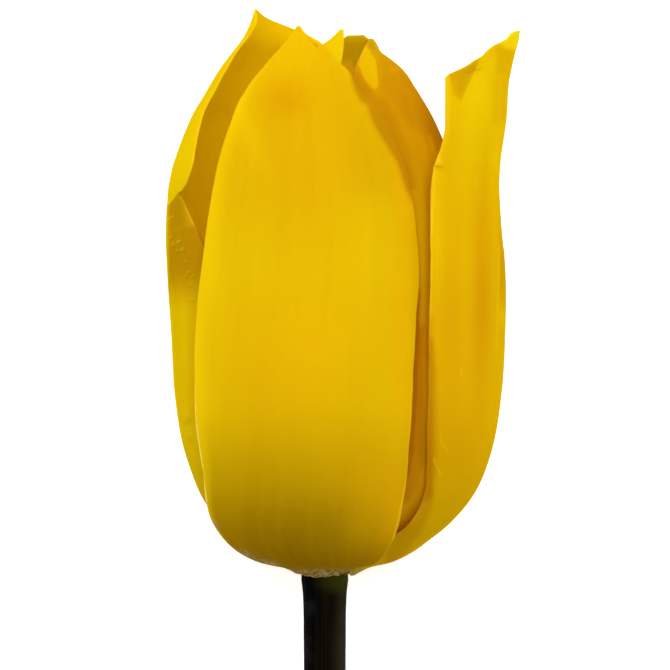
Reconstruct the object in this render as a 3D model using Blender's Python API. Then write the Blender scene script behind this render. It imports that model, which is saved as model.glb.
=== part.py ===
"""A cut tulip lying on its side: three outer and three inner petals round a
pistil and six stamens, on one stem with its receptacle.

The flower is first drawn in a frame of its own, in millimetres: x to the right,
y from the base of the cup towards the tips, z towards the front of the flower.
Directions round the cup are azimuths in degrees, 0 at the front (+z) and 90 at
the right (+x). rest() then lays the flower down: its tips point to +Y, its
front looks up, and it stands on the backs of two outer petals and on the cut
end of the stem. Blender units are metres.
"""

import math

import bmesh
import bpy
import numpy as np
from mathutils import Vector

for leftover in list(bpy.data.objects):
    bpy.data.objects.remove(leftover)

# ---- driving dimensions, millimetres and degrees ----
CUP_LEAN = 1.6  # how far the cup's axis stands to the right of the stem's
CUP_LEAN_BY = 14.0  # height by which it has moved over
PETAL_THICK = 0.7  # along the middle of a petal
PETAL_EDGE = 0.55  # share of that thickness left at the margins
ACROSS = 10  # faces of a petal from margin to margin
LONGEST_FACE = 5.0  # along a petal
STEM_TOP = 3.6  # top of the receptacle above the cup's base
STEM_LENGTH = 112.0  # below the cup's base
STEM_STRAIGHT = 16.0  # length next to the cup that runs on along its axis
STEM_SIDE = 2.5  # how far the cut end strays to the side

PITCH = 5.5  # the tips are raised by this
LIFT = 17.7  # height of the cup's base above the surface
SHIFT_X, SHIFT_Y = -2.29, 17.66  # puts the origin under the middle of the box
LAYER_OUTER = 0.155  # lowest height of the middle of an outer petal's wall
LAYER_INNER = 1.5  # and of an inner one's, which lies on it
SOFTNESS = 0.5  # how gently a wall flattens where it is pressed

# Stations of each petal, from its base to its tip: height, radius of the wall's
# middle, azimuth of the left and of the right margin as seen from outside
# going clockwise from above the tips (small to large), and how far the wall
# stands inwards of that radius at the left margin, middle and right margin.
FRONT = (
    (-0.1, 3.6, -74, 40, 0.0, 0.0, 0.0),
    (0.75, 5.4, -80, 47, 0.0, 0.0, 0.0),
    (1.55, 9.0, -87, 46, 0.0, 0.0, 0.0),
    (3.15, 12.2, -88, 40, 0.0, 0.0, 0.1),
    (6.0, 15.2, -85, 35.7, 0.0, 0.0, 0.2),
    (9.5, 17.5, -77, 31.6, 0.0, 0.0, 0.3),
    (14.3, 19.3, -68, 29.2, 0.1, 0.0, 0.5),
    (20.9, 21.0, -63, 28.4, 0.1, 0.0, 0.7),
    (26.6, 21.7, -60.5, 28.4, 0.1, 0.0, 0.8),
    (34.0, 22.1, -57.5, 29.2, 0.2, 0.0, 1.0),
    (40.5, 22.2, -54.5, 30.5, 0.3, 0.0, 1.2),
    (47.0, 21.8, -52, 30, 0.3, 0.0, 1.3),
    (52.7, 20.9, -51, 28, 0.3, 0.0, 1.4),
    (57.4, 19.65, -50, 25.4, 0.3, 0.0, 1.4),
    (60.0, 18.8, -49, 22.7, 0.3, 0.0, 1.4),
    (61.5, 18.25, -48.5, 20, 0.3, 0.0, 1.35),
    (62.8, 17.7, -48, 16.6, 0.3, 0.0, 1.3),
    (64.4, 16.8, -46.5, 10.8, 0.3, 0.0, 1.1),
    (65.8, 16.0, -45, 8.7, 0.3, 0.0, 1.0),
    (67.3, 14.9, -42, 5.8, 0.25, 0.0, 0.9),
    (68.3, 14.1, -40, 0.8, 0.2, 0.0, 0.8),
    (70.2, 12.55, -35, -7.2, 0.0, 0.0, 0.3),
    (71.3, 11.6, -33, -16.8, 0.0, 0.0, 0.1),
    (72.0, 11.0, -32, -22.5, 0.0, 0.0, 0.0),
    (73.0, 10.15, -31.5, -28.5, 0.0, 0.0, 0.0),
)
RIGHT = (
    (-0.1, 3.6, 47, 154, 0.0, 0.0, 0.0),
    (0.78, 5.7, 52, 157, 0.25, 0.0, 0.0),
    (1.6, 9.0, 46, 159, 0.85, 0.0, 0.0),
    (3.25, 12.0, 39.5, 160, 1.2, 0.0, 0.0),
    (4.6, 13.6, 42.5, 160, 1.1, 0.0, -0.1),
    (6.0, 15.2, 43.7, 160, 0.9, 0.0, -0.2),
    (8.0, 16.9, 44.0, 160, 1.0, 0.0, -0.3),
    (10.2, 18.3, 42.4, 160, 1.1, 0.0, -0.4),
    (13.4, 19.65, 39.4, 160, 1.25, 0.0, -0.55),
    (16.5, 20.65, 37.2, 160, 1.2, 0.0, -0.7),
    (24.0, 21.95, 34.0, 160, 0.75, 0.0, -0.9),
    (32.0, 22.45, 32.9, 160, 0.4, 0.0, -0.9),
    (40.0, 22.5, 32.6, 159, 0.0, 0.0, -0.9),
    (48.0, 21.85, 34.1, 156, 0.1, 0.0, -0.7),
    (53.0, 21.7, 35.1, 149, 0.1, 0.0, -0.5),
    (54.6, 21.8, 36.0, 146, 0.0, 0.0, -0.4),
    (56.5, 22.0, 38.1, 142, 0.0, 0.0, -0.3),
    (58.5, 22.35, 38.9, 138, 0.0, 0.0, -0.1),
    (61.0, 22.7, 38.4, 135, 0.0, 0.0, 0.0),
    (65.55, 23.0, 37.5, 132, 0.0, 0.0, 0.2),
    (66.4, 23.1, 41.5, 131, 0.0, 0.0, 0.2),
    (67.0, 23.25, 46.2, 129.5, 0.0, 0.0, 0.2),
    (68.3, 23.5, 52.3, 126.5, 0.0, 0.0, 0.1),
    (70.2, 23.95, 60.0, 120.5, 0.0, 0.0, 0.0),
    (71.2, 24.25, 67.8, 115, 0.0, 0.0, 0.0),
    (72.4, 24.5, 74, 107, 0.0, 0.0, 0.0),
    (73.15, 24.6, 91, 97, 0.0, 0.0, 0.0),
)
LEFT = (
    (-0.1, 3.6, -198, -82, 0.0, 0.0, 0.0),
    (0.75, 5.6, -196, -89, 0.0, 0.0, 0.2),
    (1.55, 9.0, -190, -94, 0.0, 0.0, 0.8),
    (3.2, 12.1, -185, -92, 0.0, 0.0, 1.4),
    (6.0, 15.1, -179, -83, 0.0, 0.0, 1.9),
    (10.0, 18.2, -175, -70, 0.0, 0.0, 2.15),
    (16.0, 20.5, -171, -58, -0.1, 0.0, 2.25),
    (24.0, 21.8, -168, -52, -0.2, 0.0, 2.25),
    (32.0, 22.25, -168, -50, -0.2, 0.0, 2.3),
    (38.0, 22.7, -168, -52, -0.2, 0.0, 2.5),
    (41.7, 22.95, -168, -55.5, -0.2, 0.0, 2.4),
    (44.5, 23.1, -168, -58, -0.2, 0.0, 2.1),
    (47.0, 23.05, -168, -61.5, -0.1, 0.0, 1.5),
    (49.3, 22.95, -168, -65.5, 0.0, 0.0, 0.9),
    (50.6, 22.85, -168, -68.5, 0.0, 0.0, 0.5),
    (51.9, 22.6, -168, -64.5, 0.0, 0.0, 0.4),
    (53.3, 22.3, -168, -62.1, 0.0, 0.0, 0.3),
    (54.8, 21.95, -168, -61, 0.0, 0.0, 0.3),
    (56.5, 21.4, -168, -62.4, 0.0, 0.0, 0.3),
    (59.4, 20.35, -168, -65.6, 0.0, 0.0, 0.3),
    (61.4, 19.5, -169, -68.3, 0.0, 0.0, 0.3),
    (64.5, 17.7, -171, -69.8, 0.0, 0.0, 0.3),
    (67.5, 15.9, -173, -69.8, 0.0, 0.0, 0.2),
    (70.2, 13.9, -175, -72.5, 0.0, 0.0, 0.1),
    (72.0, 12.5, -172, -69.5, 0.0, 0.0, 0.0),
    (73.4, 11.8, -160, -67.5, 0.0, 0.0, 0.0),
    (74.6, 11.35, -140, -71, 0.0, 0.0, 0.0),
    (75.4, 11.1, -118, -80, 0.0, 0.0, 0.0),
    (76.1, 10.95, -100, -92.5, 0.0, 0.0, 0.0),
)
INNER_RIGHT = (
    (2.1, 4.1, 2, 97, 0.0, 0.0, 0.0),
    (2.6, 5.9, 0, 98, 0.1, 0.0, 0.0),
    (3.6, 8.3, -3, 98, 0.2, 0.0, 0.0),
    (5.2, 10.7, -5, 97, 0.3, -0.1, 0.0),
    (8.0, 13.6, -6, 96, 0.4, -0.3, 0.0),
    (11.5, 16.0, -6, 95, 0.5, -0.5, 0.0),
    (17.0, 18.3, -6, 94, 0.8, -0.15, 0.0),
    (24.0, 19.6, -6, 93, 0.8, -0.15, 0.0),
    (32.0, 20.1, -6, 92, 0.8, -0.05, 0.1),
    (40.0, 20.2, -5, 90, 0.8, 0.1, 0.3),
    (47.8, 19.6, -4, 87, 0.8, 0.2, 1.4),
    (53.5, 18.3, -2, 83, 0.8, 0.2, 2.8),
    (57.5, 17.0, 0, 79, 0.8, 0.2, 3.4),
    (61.5, 15.1, 4, 74, 0.3, 0.0, 2.9),
    (65.4, 12.9, 9, 66, 0.2, 0.0, 2.15),
    (67.6, 11.3, 13, 61, 0.0, 0.0, 1.5),
    (69.0, 10.1, 18, 49, 0.0, 0.0, 0.8),
    (69.8, 9.4, 21.5, 40, 0.0, 0.0, 0.4),
    (70.7, 8.7, 27, 38.5, 0.0, 0.0, 0.1),
    (71.5, 7.9, 33, 37.5, 0.0, 0.0, 0.0),
)
INNER_LEFT = (
    (2.1, 4.1, -128, -6, 0.0, 0.2, 0.0),
    (2.6, 5.9, -124, -9, 0.0, 0.4, 0.0),
    (3.6, 8.3, -114, -12, 0.0, 0.6, 0.0),
    (5.2, 10.7, -103, -14, 0.1, 0.8, 0.0),
    (8.0, 13.6, -94, -15, 0.2, 0.9, 0.0),
    (11.5, 16.0, -87, -15, 0.3, 1.0, 0.0),
    (17.0, 18.3, -80, -15, 0.5, 1.0, 0.0),
    (24.0, 19.6, -74, -15, 0.65, 1.0, 0.0),
    (32.0, 20.1, -68, -15, 0.75, 1.0, 0.0),
    (40.0, 20.2, -61, -14, 0.75, 1.0, 0.0),
    (47.8, 19.6, -55, -13, 0.6, 0.9, 0.0),
    (54.2, 18.2, -51, -11, 0.3, 0.7, 0.0),
    (58.6, 16.6, -48, -8, 0.2, 0.4, 0.0),
    (62.5, 14.4, -44, -4, 0.1, 0.2, 0.0),
    (66.5, 11.7, -37, 1, 0.0, 0.0, 0.0),
    (69.5, 9.4, -22, 5, 0.0, 0.0, 0.0),
    (71.4, 7.9, -6, 7, 0.0, 0.0, 0.0),
    (72.7, 6.8, 3, 8, 0.0, 0.0, 0.0),
)
INNER_BACK = (
    (2.1, 4.1, 105, 222, 0.0, 0.0, 0.0),
    (2.6, 5.9, 107, 224, -0.1, 0.0, 0.0),
    (3.6, 8.3, 110, 227, -0.3, -0.2, -0.2),
    (5.2, 10.7, 114, 229, -0.4, -0.4, -0.4),
    (8.0, 13.6, 117, 230, -0.5, -0.5, -0.5),
    (11.5, 16.0, 120, 230, -0.5, -0.5, -0.6),
    (17.0, 18.3, 121, 230, -0.6, -0.6, -0.6),
    (24.0, 19.6, 122, 229, -0.5, -0.5, -0.5),
    (32.0, 20.1, 123, 228, -0.5, -0.5, -0.5),
    (40.0, 20.2, 124, 226, -0.5, -0.5, -0.5),
    (47.8, 19.7, 126, 223, -0.4, -0.4, -0.4),
    (54.6, 18.4, 129, 219, 0.0, -0.2, 0.0),
    (60.0, 16.6, 133, 214, 0.3, 0.0, 0.3),
    (64.0, 14.7, 138, 208, 0.4, 0.0, 0.4),
    (67.5, 12.5, 144, 200, 0.4, 0.0, 0.4),
    (70.2, 10.9, 147, 191, 0.2, 0.0, 0.2),
    (72.2, 9.7, 150, 180, 0.0, 0.0, 0.0),
    (73.2, 9.1, 156, 171, 0.0, 0.0, 0.0),
)

# Stem: distance below the cup's base, and radius
STEM_RADII = (
    (-3.6, 3.0), (-2.4, 3.2), (0.0, 3.16), (0.9, 3.24), (1.6, 3.16), (2.6, 3.04),
    (4.0, 2.97), (9.0, 2.88), (16.0, 2.85), (40.0, 2.95), (80.0, 3.2), (112.0, 3.4),
)
# Pistil: height above the cup's base, radius, and how far it bulges at its
# three corners
PISTIL = (
    (3.95, 1.5, 0.0), (4.3, 1.9, 0.05), (7.0, 2.25, 0.15), (12.0, 2.6, 0.3),
    (17.0, 2.5, 0.35), (20.5, 1.95, 0.25), (22.3, 1.65, 0.2), (23.2, 2.3, 0.8),
    (24.3, 2.6, 1.15), (25.3, 2.2, 1.0), (25.9, 1.1, 0.5),
)
# Stamen: height above the cup's base, distance from the axis, half width
# across and half width outwards
STAMEN = (
    (3.95, 3.2, 0.55, 0.4), (4.4, 3.25, 0.78, 0.5), (7.5, 4.1, 0.75, 0.5),
    (10.5, 4.9, 0.6, 0.45), (12.4, 5.25, 0.4, 0.38), (13.2, 5.35, 0.95, 0.85),
    (15.0, 5.45, 1.25, 1.05), (20.0, 5.6, 1.25, 1.05), (24.5, 5.6, 1.1, 0.95),
    (26.3, 5.55, 0.6, 0.55),
)
STAMEN_AZIMUTHS = (14.0, 74.0, 134.0, 194.0, 254.0, 314.0)


# ---- geometry ----
def smooth(value):
    value = np.clip(value, 0.0, 1.0)
    return value * value * (3.0 - 2.0 * value)


def through(knots, values, at, even=False):
    """A smooth curve through values at knots, read at the places in at. An even one never swings past a station."""
    knots, values = np.asarray(knots, float), np.asarray(values, float)
    step = np.diff(knots)[:, None]
    slope = np.diff(values, axis=0) / step
    tangent = np.empty_like(values)
    tangent[0], tangent[-1] = slope[0], slope[-1]
    tangent[1:-1] = (slope[:-1] * step[1:] + slope[1:] * step[:-1]) / (
        step[1:] + step[:-1]
    )
    if even:
        least = np.minimum(np.abs(slope[:-1]), np.abs(slope[1:]))
        rising = np.sign(slope[:-1]) * (slope[:-1] * slope[1:] > 0)
        tangent[1:-1] = rising * np.minimum(np.abs(tangent[1:-1]), 2.5 * least)
    cell = np.clip(np.searchsorted(knots, at, side="right") - 1, 0, len(knots) - 2)
    h = step[cell]
    s = ((at - knots[cell])[:, None]) / h
    return (
        values[cell] * (1 + 2 * s) * (1 - s) ** 2
        + values[cell + 1] * s * s * (3 - 2 * s)
        + h * tangent[cell] * s * (1 - s) ** 2
        + h * tangent[cell + 1] * s * s * (s - 1)
    )


def petal_wall(stations, across, longest):
    """The middle of a petal's wall: a grid of points, [along, across, xyz]. Its rows pass through the stations and are at most longest apart."""
    table = np.array(stations, float)
    run = np.hypot(np.diff(table[:, 0]), np.diff(table[:, 1]))
    knots = np.concatenate([[0.0], np.cumsum(run)])
    at = [0.0]
    for start, length in zip(knots, run):
        count = max(1, round(length / longest))
        at += [start + length * (i + 1) / count for i in range(count)]
    at = np.clip(at, 0.0, knots[-1])
    row = through(knots, table, at)
    row[:, 2:] = through(knots, table[:, 2:], at, even=True)
    ahead = through(knots, table[:, :2], np.clip(at + 0.01, 0, knots[-1]))
    behind = through(knots, table[:, :2], np.clip(at - 0.01, 0, knots[-1]))
    rise, out = (ahead - behind).T
    length = np.hypot(rise, out)
    inward = np.stack([rise / length, out / length], 1)  # towards the axis, and up
    u = np.linspace(-1.0, 1.0, across + 1)[None, :]
    height, radius, left, right, at_left, middle, at_right = row.T[:, :, None]
    weight = np.abs(u) ** 2.5
    depth = middle + np.where(u < 0, at_left - middle, at_right - middle) * weight
    angle = np.radians((left + right) / 2 + (right - left) / 2 * u)
    r = radius - depth * inward[:, :1]
    y = height + depth * inward[:, 1:]
    x = CUP_LEAN * smooth(height / CUP_LEAN_BY) + r * np.sin(angle)
    return np.stack([x, y, r * np.cos(angle)], -1)


def rest(points, layer=None):
    """Lays points of the flower's frame down, in metres. A wall with a layer isn't lower than that: it flattens."""
    points = np.asarray(points, float)
    tilt = math.radians(PITCH)
    x, y, z = points[..., 0], points[..., 1], points[..., 2]
    far = y * math.cos(tilt) - z * math.sin(tilt)
    up = y * math.sin(tilt) + z * math.cos(tilt) + LIFT
    if layer is not None:
        over = up - layer
        up = layer + (over + np.sqrt(over * over + SOFTNESS * SOFTNESS)) / 2
    return np.stack([x + SHIFT_X, far + SHIFT_Y, up], -1) / 1000.0


def material(name, colour, roughness):
    made = bpy.data.materials.new(name)
    made.use_nodes = True
    shader = made.node_tree.nodes["Principled BSDF"]
    shader.inputs["Base Color"].default_value = (*colour, 1.0)
    shader.inputs["Roughness"].default_value = roughness
    shader.inputs["Metallic"].default_value = 0.0
    made.diffuse_color = (*colour, 1.0)
    return made


def add(name, mesh, shade):
    made = bpy.data.objects.new(name, mesh)
    made.data.materials.append(shade)
    bpy.context.scene.collection.objects.link(made)
    return made


def petal(name, stations, layer, colour):
    grid = rest(petal_wall(stations, ACROSS, LONGEST_FACE), layer)
    along = len(grid) - 1
    bm = bmesh.new()
    rows = [[bm.verts.new(Vector(p)) for p in line] for line in grid]
    for lower, upper in zip(rows, rows[1:]):
        for i in range(ACROSS):
            bm.faces.new((lower[i], lower[i + 1], upper[i + 1], upper[i]))
    bmesh.ops.recalc_face_normals(bm, faces=bm.faces)
    mesh = bpy.data.meshes.new(name)
    bm.to_mesh(mesh)
    bm.free()
    mesh.shade_smooth()
    made = add(name, mesh, material(name, colour, 0.45))
    group = made.vertex_groups.new(name="thickness")
    for j in range(along + 1):
        for i in range(ACROSS + 1):
            u = abs(2.0 * i / ACROSS - 1.0)
            v = j / along
            group.add([j * (ACROSS + 1) + i], (1 - u**3) * (1 - v**6), "REPLACE")
    thick = made.modifiers.new("thickness", "SOLIDIFY")
    thick.thickness = PETAL_THICK / 1000.0
    thick.offset = 0.0
    thick.vertex_group = "thickness"
    thick.thickness_vertex_group = PETAL_EDGE
    return made


def skin(name, rings, shade):
    """A closed body through rings of points, capped at both ends."""
    bm = bmesh.new()
    loops = [[bm.verts.new(Vector(p)) for p in ring] for ring in rings]
    for lower, upper in zip(loops, loops[1:]):
        for i, point in enumerate(lower):
            following = (i + 1) % len(lower)
            bm.faces.new((point, lower[following], upper[following], upper[i]))
    bm.faces.new(loops[0][::-1])
    bm.faces.new(loops[-1])
    bmesh.ops.recalc_face_normals(bm, faces=bm.faces)
    mesh = bpy.data.meshes.new(name)
    bm.to_mesh(mesh)
    bm.free()
    mesh.shade_smooth()
    mesh.set_sharp_from_angle(angle=math.radians(50))
    return add(name, mesh, shade)


def stem_centre(down):
    """Centre of the stem in metres, laid down, by its length below the cup's base."""
    down = np.asarray(down, float)
    tilt = math.radians(PITCH)
    start = np.array([-STEM_STRAIGHT * math.cos(tilt), LIFT - STEM_STRAIGHT * math.sin(tilt)])
    reach = STEM_LENGTH - STEM_STRAIGHT
    end = np.array([-STEM_LENGTH * math.cos(tilt) + 0.2, STEM_RADII[-1][1]])
    s = np.clip((down - STEM_STRAIGHT) / reach, 0.0, 1.0)[:, None]
    leave = np.array([-math.cos(tilt), -math.sin(tilt)]) * reach
    arrive = np.array([-1.0, 0.0]) * reach
    bent = (
        start * (1 + 2 * s) * (1 - s) ** 2
        + end * s * s * (3 - 2 * s)
        + leave * s * (1 - s) ** 2
        + arrive * s * s * (s - 1)
    )
    near = np.stack([-down * math.cos(tilt), LIFT - down * math.sin(tilt)], 1)
    run = np.where(down[:, None] < STEM_STRAIGHT, near, bent)
    side = STEM_SIDE * s[:, 0] ** 2 * (1.5 - 0.5 * s[:, 0])
    return np.stack([side + SHIFT_X, run[:, 0] + SHIFT_Y, run[:, 1]], 1) / 1000.0


def stem(colour):
    knots, radii = np.array(STEM_RADII).T
    down = np.concatenate(
        [[-STEM_TOP, -STEM_TOP + 0.3], np.linspace(-2.4, 16.0, 9), np.linspace(22.0, STEM_LENGTH, 16)]
    )
    radius = through(knots, radii[:, None], down)[:, 0]
    radius[0] -= 0.35
    data = bpy.data.curves.new("stem", "CURVE")
    data.dimensions = "3D"
    data.bevel_depth = 0.001
    data.bevel_resolution = 6
    data.use_fill_caps = True
    line = data.splines.new("POLY")
    line.points.add(len(down) - 1)
    for point, place, r in zip(line.points, stem_centre(down), radius):
        point.co = (*place, 1.0)
        point.radius = r
    return add("stem", data, material("stem", colour, 0.5))


def pistil(colour):
    around = np.linspace(0.0, 2 * math.pi, 18, endpoint=False)
    rings = []
    for height, radius, bulge in PISTIL:
        r = radius + bulge * np.cos(3 * around)
        rings.append(rest(np.stack([r * np.sin(around), np.full(18, height), r * np.cos(around)], 1)))
    return skin("pistil", rings, material("pistil", colour, 0.5))


def stamen(number, azimuth, colour):
    knots = np.array([row[0] for row in STAMEN])
    rows = np.array(STAMEN)[:, 1:]
    turn = math.radians(azimuth)
    outward = np.array([math.sin(turn), 0.0, math.cos(turn)])
    sideways = np.array([math.cos(turn), 0.0, -math.sin(turn)])
    around = np.linspace(0.0, 2 * math.pi, 8, endpoint=False)[:, None]
    rings = []
    for height, (reach, wide, deep) in zip(knots, rows):
        centre = outward * reach + np.array([0.0, height, 0.0])
        ring = centre + sideways * wide * np.cos(around) + outward * deep * np.sin(around)
        rings.append(rest(ring))
    return skin(f"stamen_{number}", rings, material(f"stamen_{number}", colour, 0.7))


YELLOW, DEEP_YELLOW = (0.80, 0.48, 0.01), (0.62, 0.33, 0.01)
petal("outer_petal_front", FRONT, LAYER_OUTER, YELLOW)
petal("outer_petal_right", RIGHT, LAYER_OUTER, YELLOW)
petal("outer_petal_left", LEFT, LAYER_OUTER, YELLOW)
petal("inner_petal_right", INNER_RIGHT, LAYER_INNER, DEEP_YELLOW)
petal("inner_petal_left", INNER_LEFT, LAYER_INNER, DEEP_YELLOW)
petal("inner_petal_back", INNER_BACK, LAYER_INNER, DEEP_YELLOW)
stem((0.012, 0.018, 0.010))
pistil((0.45, 0.50, 0.10))
for number, azimuth in enumerate(STAMEN_AZIMUTHS, 1):
    stamen(number, azimuth, (0.55, 0.38, 0.03))
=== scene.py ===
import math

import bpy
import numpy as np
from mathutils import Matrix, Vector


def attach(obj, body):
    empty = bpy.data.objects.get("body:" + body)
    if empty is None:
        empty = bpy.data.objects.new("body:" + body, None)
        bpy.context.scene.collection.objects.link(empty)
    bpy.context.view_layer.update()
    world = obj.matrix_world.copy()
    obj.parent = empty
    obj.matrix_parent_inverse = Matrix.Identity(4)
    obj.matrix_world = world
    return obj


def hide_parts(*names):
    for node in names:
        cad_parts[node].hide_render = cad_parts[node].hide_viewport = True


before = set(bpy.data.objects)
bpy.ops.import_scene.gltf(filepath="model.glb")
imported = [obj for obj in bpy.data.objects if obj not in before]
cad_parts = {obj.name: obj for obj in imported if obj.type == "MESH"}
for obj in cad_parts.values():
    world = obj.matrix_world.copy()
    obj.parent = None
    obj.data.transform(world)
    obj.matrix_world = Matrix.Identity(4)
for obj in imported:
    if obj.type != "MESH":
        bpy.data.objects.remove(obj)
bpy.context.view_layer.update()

# Looks of the cut tulip: every petal, the stem, the pistil and the stamens as
# finely modelled meshes in place of the plain solids, each with a node
# material, on a pale floor under soft studio light.
#
# The flower is drawn in a frame of its own, in millimetres: x to the right, y
# from the base of the cup towards the tips, z towards the front of the flower.
# Azimuths round the cup are in degrees, 0 at the front (+z), 90 at the right
# (+x). rest() lays it down, in metres.

# ---- driving dimensions, millimetres and degrees ----
CUP_LEAN = 1.6
CUP_LEAN_BY = 14.0
STEM_TOP = 3.6
STEM_LENGTH = 112.0
STEM_STRAIGHT = 16.0
STEM_SIDE = 2.5

PITCH = 5.5
LIFT = 17.7
SHIFT_X, SHIFT_Y = -2.29, 17.66
LAYER_OUTER = 0.155
LAYER_INNER = 1.5
SOFTNESS = 0.5

# Height, radius, azimuth of the left and right margin, and how far the wall
# stands inwards at the left margin, middle and right margin.
FRONT = (
    (-0.1, 3.6, -74, 40, 0.0, 0.0, 0.0),
    (0.75, 5.4, -80, 47, 0.0, 0.0, 0.0),
    (1.55, 9.0, -87, 46, 0.0, 0.0, 0.0),
    (3.15, 12.2, -88, 40, 0.0, 0.0, 0.1),
    (6.0, 15.2, -85, 35.7, 0.0, 0.0, 0.2),
    (9.5, 17.5, -77, 31.6, 0.0, 0.0, 0.3),
    (14.3, 19.3, -68, 29.2, 0.1, 0.0, 0.5),
    (20.9, 21.0, -63, 28.4, 0.1, 0.0, 0.7),
    (26.6, 21.7, -60.5, 28.4, 0.1, 0.0, 0.8),
    (34.0, 22.1, -57.5, 29.2, 0.2, 0.0, 1.0),
    (40.5, 22.2, -54.5, 30.5, 0.3, 0.0, 1.2),
    (47.0, 21.8, -52, 30, 0.3, 0.0, 1.3),
    (52.7, 20.9, -51, 28, 0.3, 0.0, 1.4),
    (57.4, 19.65, -50, 25.4, 0.3, 0.0, 1.4),
    (60.0, 18.8, -49, 22.7, 0.3, 0.0, 1.4),
    (61.5, 18.25, -48.5, 20, 0.3, 0.0, 1.35),
    (62.8, 17.7, -48, 16.6, 0.3, 0.0, 1.3),
    (64.4, 16.8, -46.5, 10.8, 0.3, 0.0, 1.1),
    (65.8, 16.0, -45, 8.7, 0.3, 0.0, 1.0),
    (67.3, 14.9, -42, 5.8, 0.25, 0.0, 0.9),
    (68.3, 14.1, -40, 0.8, 0.2, 0.0, 0.8),
    (70.2, 12.55, -35, -7.2, 0.0, 0.0, 0.3),
    (71.3, 11.6, -33, -16.8, 0.0, 0.0, 0.1),
    (72.0, 11.0, -32, -22.5, 0.0, 0.0, 0.0),
    (73.0, 10.15, -31.5, -28.5, 0.0, 0.0, 0.0),
)
RIGHT = (
    (-0.1, 3.6, 47, 154, 0.0, 0.0, 0.0),
    (0.78, 5.7, 52, 157, 0.25, 0.0, 0.0),
    (1.6, 9.0, 46, 159, 0.85, 0.0, 0.0),
    (3.25, 12.0, 39.5, 160, 1.2, 0.0, 0.0),
    (4.6, 13.6, 42.5, 160, 1.1, 0.0, -0.1),
    (6.0, 15.2, 43.7, 160, 0.9, 0.0, -0.2),
    (8.0, 16.9, 44.0, 160, 1.0, 0.0, -0.3),
    (10.2, 18.3, 42.4, 160, 1.1, 0.0, -0.4),
    (13.4, 19.65, 39.4, 160, 1.25, 0.0, -0.55),
    (16.5, 20.65, 37.2, 160, 1.2, 0.0, -0.7),
    (24.0, 21.95, 34.0, 160, 0.75, 0.0, -0.9),
    (32.0, 22.45, 32.9, 160, 0.4, 0.0, -0.9),
    (40.0, 22.5, 32.6, 159, 0.0, 0.0, -0.9),
    (48.0, 21.85, 34.1, 156, 0.1, 0.0, -0.7),
    (53.0, 21.7, 35.1, 149, 0.1, 0.0, -0.5),
    (54.6, 21.8, 36.0, 146, 0.0, 0.0, -0.4),
    (56.5, 22.0, 38.1, 142, 0.0, 0.0, -0.3),
    (58.5, 22.35, 38.9, 138, 0.0, 0.0, -0.1),
    (61.0, 22.7, 38.4, 135, 0.0, 0.0, 0.0),
    (65.55, 23.0, 37.5, 132, 0.0, 0.0, 0.2),
    (66.4, 23.1, 41.5, 131, 0.0, 0.0, 0.2),
    (67.0, 23.25, 46.2, 129.5, 0.0, 0.0, 0.2),
    (68.3, 23.5, 52.3, 126.5, 0.0, 0.0, 0.1),
    (70.2, 23.95, 60.0, 120.5, 0.0, 0.0, 0.0),
    (71.2, 24.25, 67.8, 115, 0.0, 0.0, 0.0),
    (72.4, 24.5, 74, 107, 0.0, 0.0, 0.0),
    (73.15, 24.6, 91, 97, 0.0, 0.0, 0.0),
)
LEFT = (
    (-0.1, 3.6, -198, -82, 0.0, 0.0, 0.0),
    (0.75, 5.6, -196, -89, 0.0, 0.0, 0.2),
    (1.55, 9.0, -190, -94, 0.0, 0.0, 0.8),
    (3.2, 12.1, -185, -92, 0.0, 0.0, 1.4),
    (6.0, 15.1, -179, -83, 0.0, 0.0, 1.9),
    (10.0, 18.2, -175, -70, 0.0, 0.0, 2.15),
    (16.0, 20.5, -171, -58, -0.1, 0.0, 2.25),
    (24.0, 21.8, -168, -52, -0.2, 0.0, 2.25),
    (32.0, 22.25, -168, -50, -0.2, 0.0, 2.3),
    (38.0, 22.7, -168, -52, -0.2, 0.0, 2.5),
    (41.7, 22.95, -168, -55.5, -0.2, 0.0, 2.4),
    (44.5, 23.1, -168, -58, -0.2, 0.0, 2.1),
    (47.0, 23.05, -168, -61.5, -0.1, 0.0, 1.5),
    (49.3, 22.95, -168, -65.5, 0.0, 0.0, 0.9),
    (50.6, 22.85, -168, -68.5, 0.0, 0.0, 0.5),
    (51.9, 22.6, -168, -64.5, 0.0, 0.0, 0.4),
    (53.3, 22.3, -168, -62.1, 0.0, 0.0, 0.3),
    (54.8, 21.95, -168, -61, 0.0, 0.0, 0.3),
    (56.5, 21.4, -168, -62.4, 0.0, 0.0, 0.3),
    (59.4, 20.35, -168, -65.6, 0.0, 0.0, 0.3),
    (61.4, 19.5, -169, -68.3, 0.0, 0.0, 0.3),
    (64.5, 17.7, -171, -69.8, 0.0, 0.0, 0.3),
    (67.5, 15.9, -173, -69.8, 0.0, 0.0, 0.2),
    (70.2, 13.9, -175, -72.5, 0.0, 0.0, 0.1),
    (72.0, 12.5, -172, -69.5, 0.0, 0.0, 0.0),
    (73.4, 11.8, -160, -67.5, 0.0, 0.0, 0.0),
    (74.6, 11.35, -140, -71, 0.0, 0.0, 0.0),
    (75.4, 11.1, -118, -80, 0.0, 0.0, 0.0),
    (76.1, 10.95, -100, -92.5, 0.0, 0.0, 0.0),
)
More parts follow.
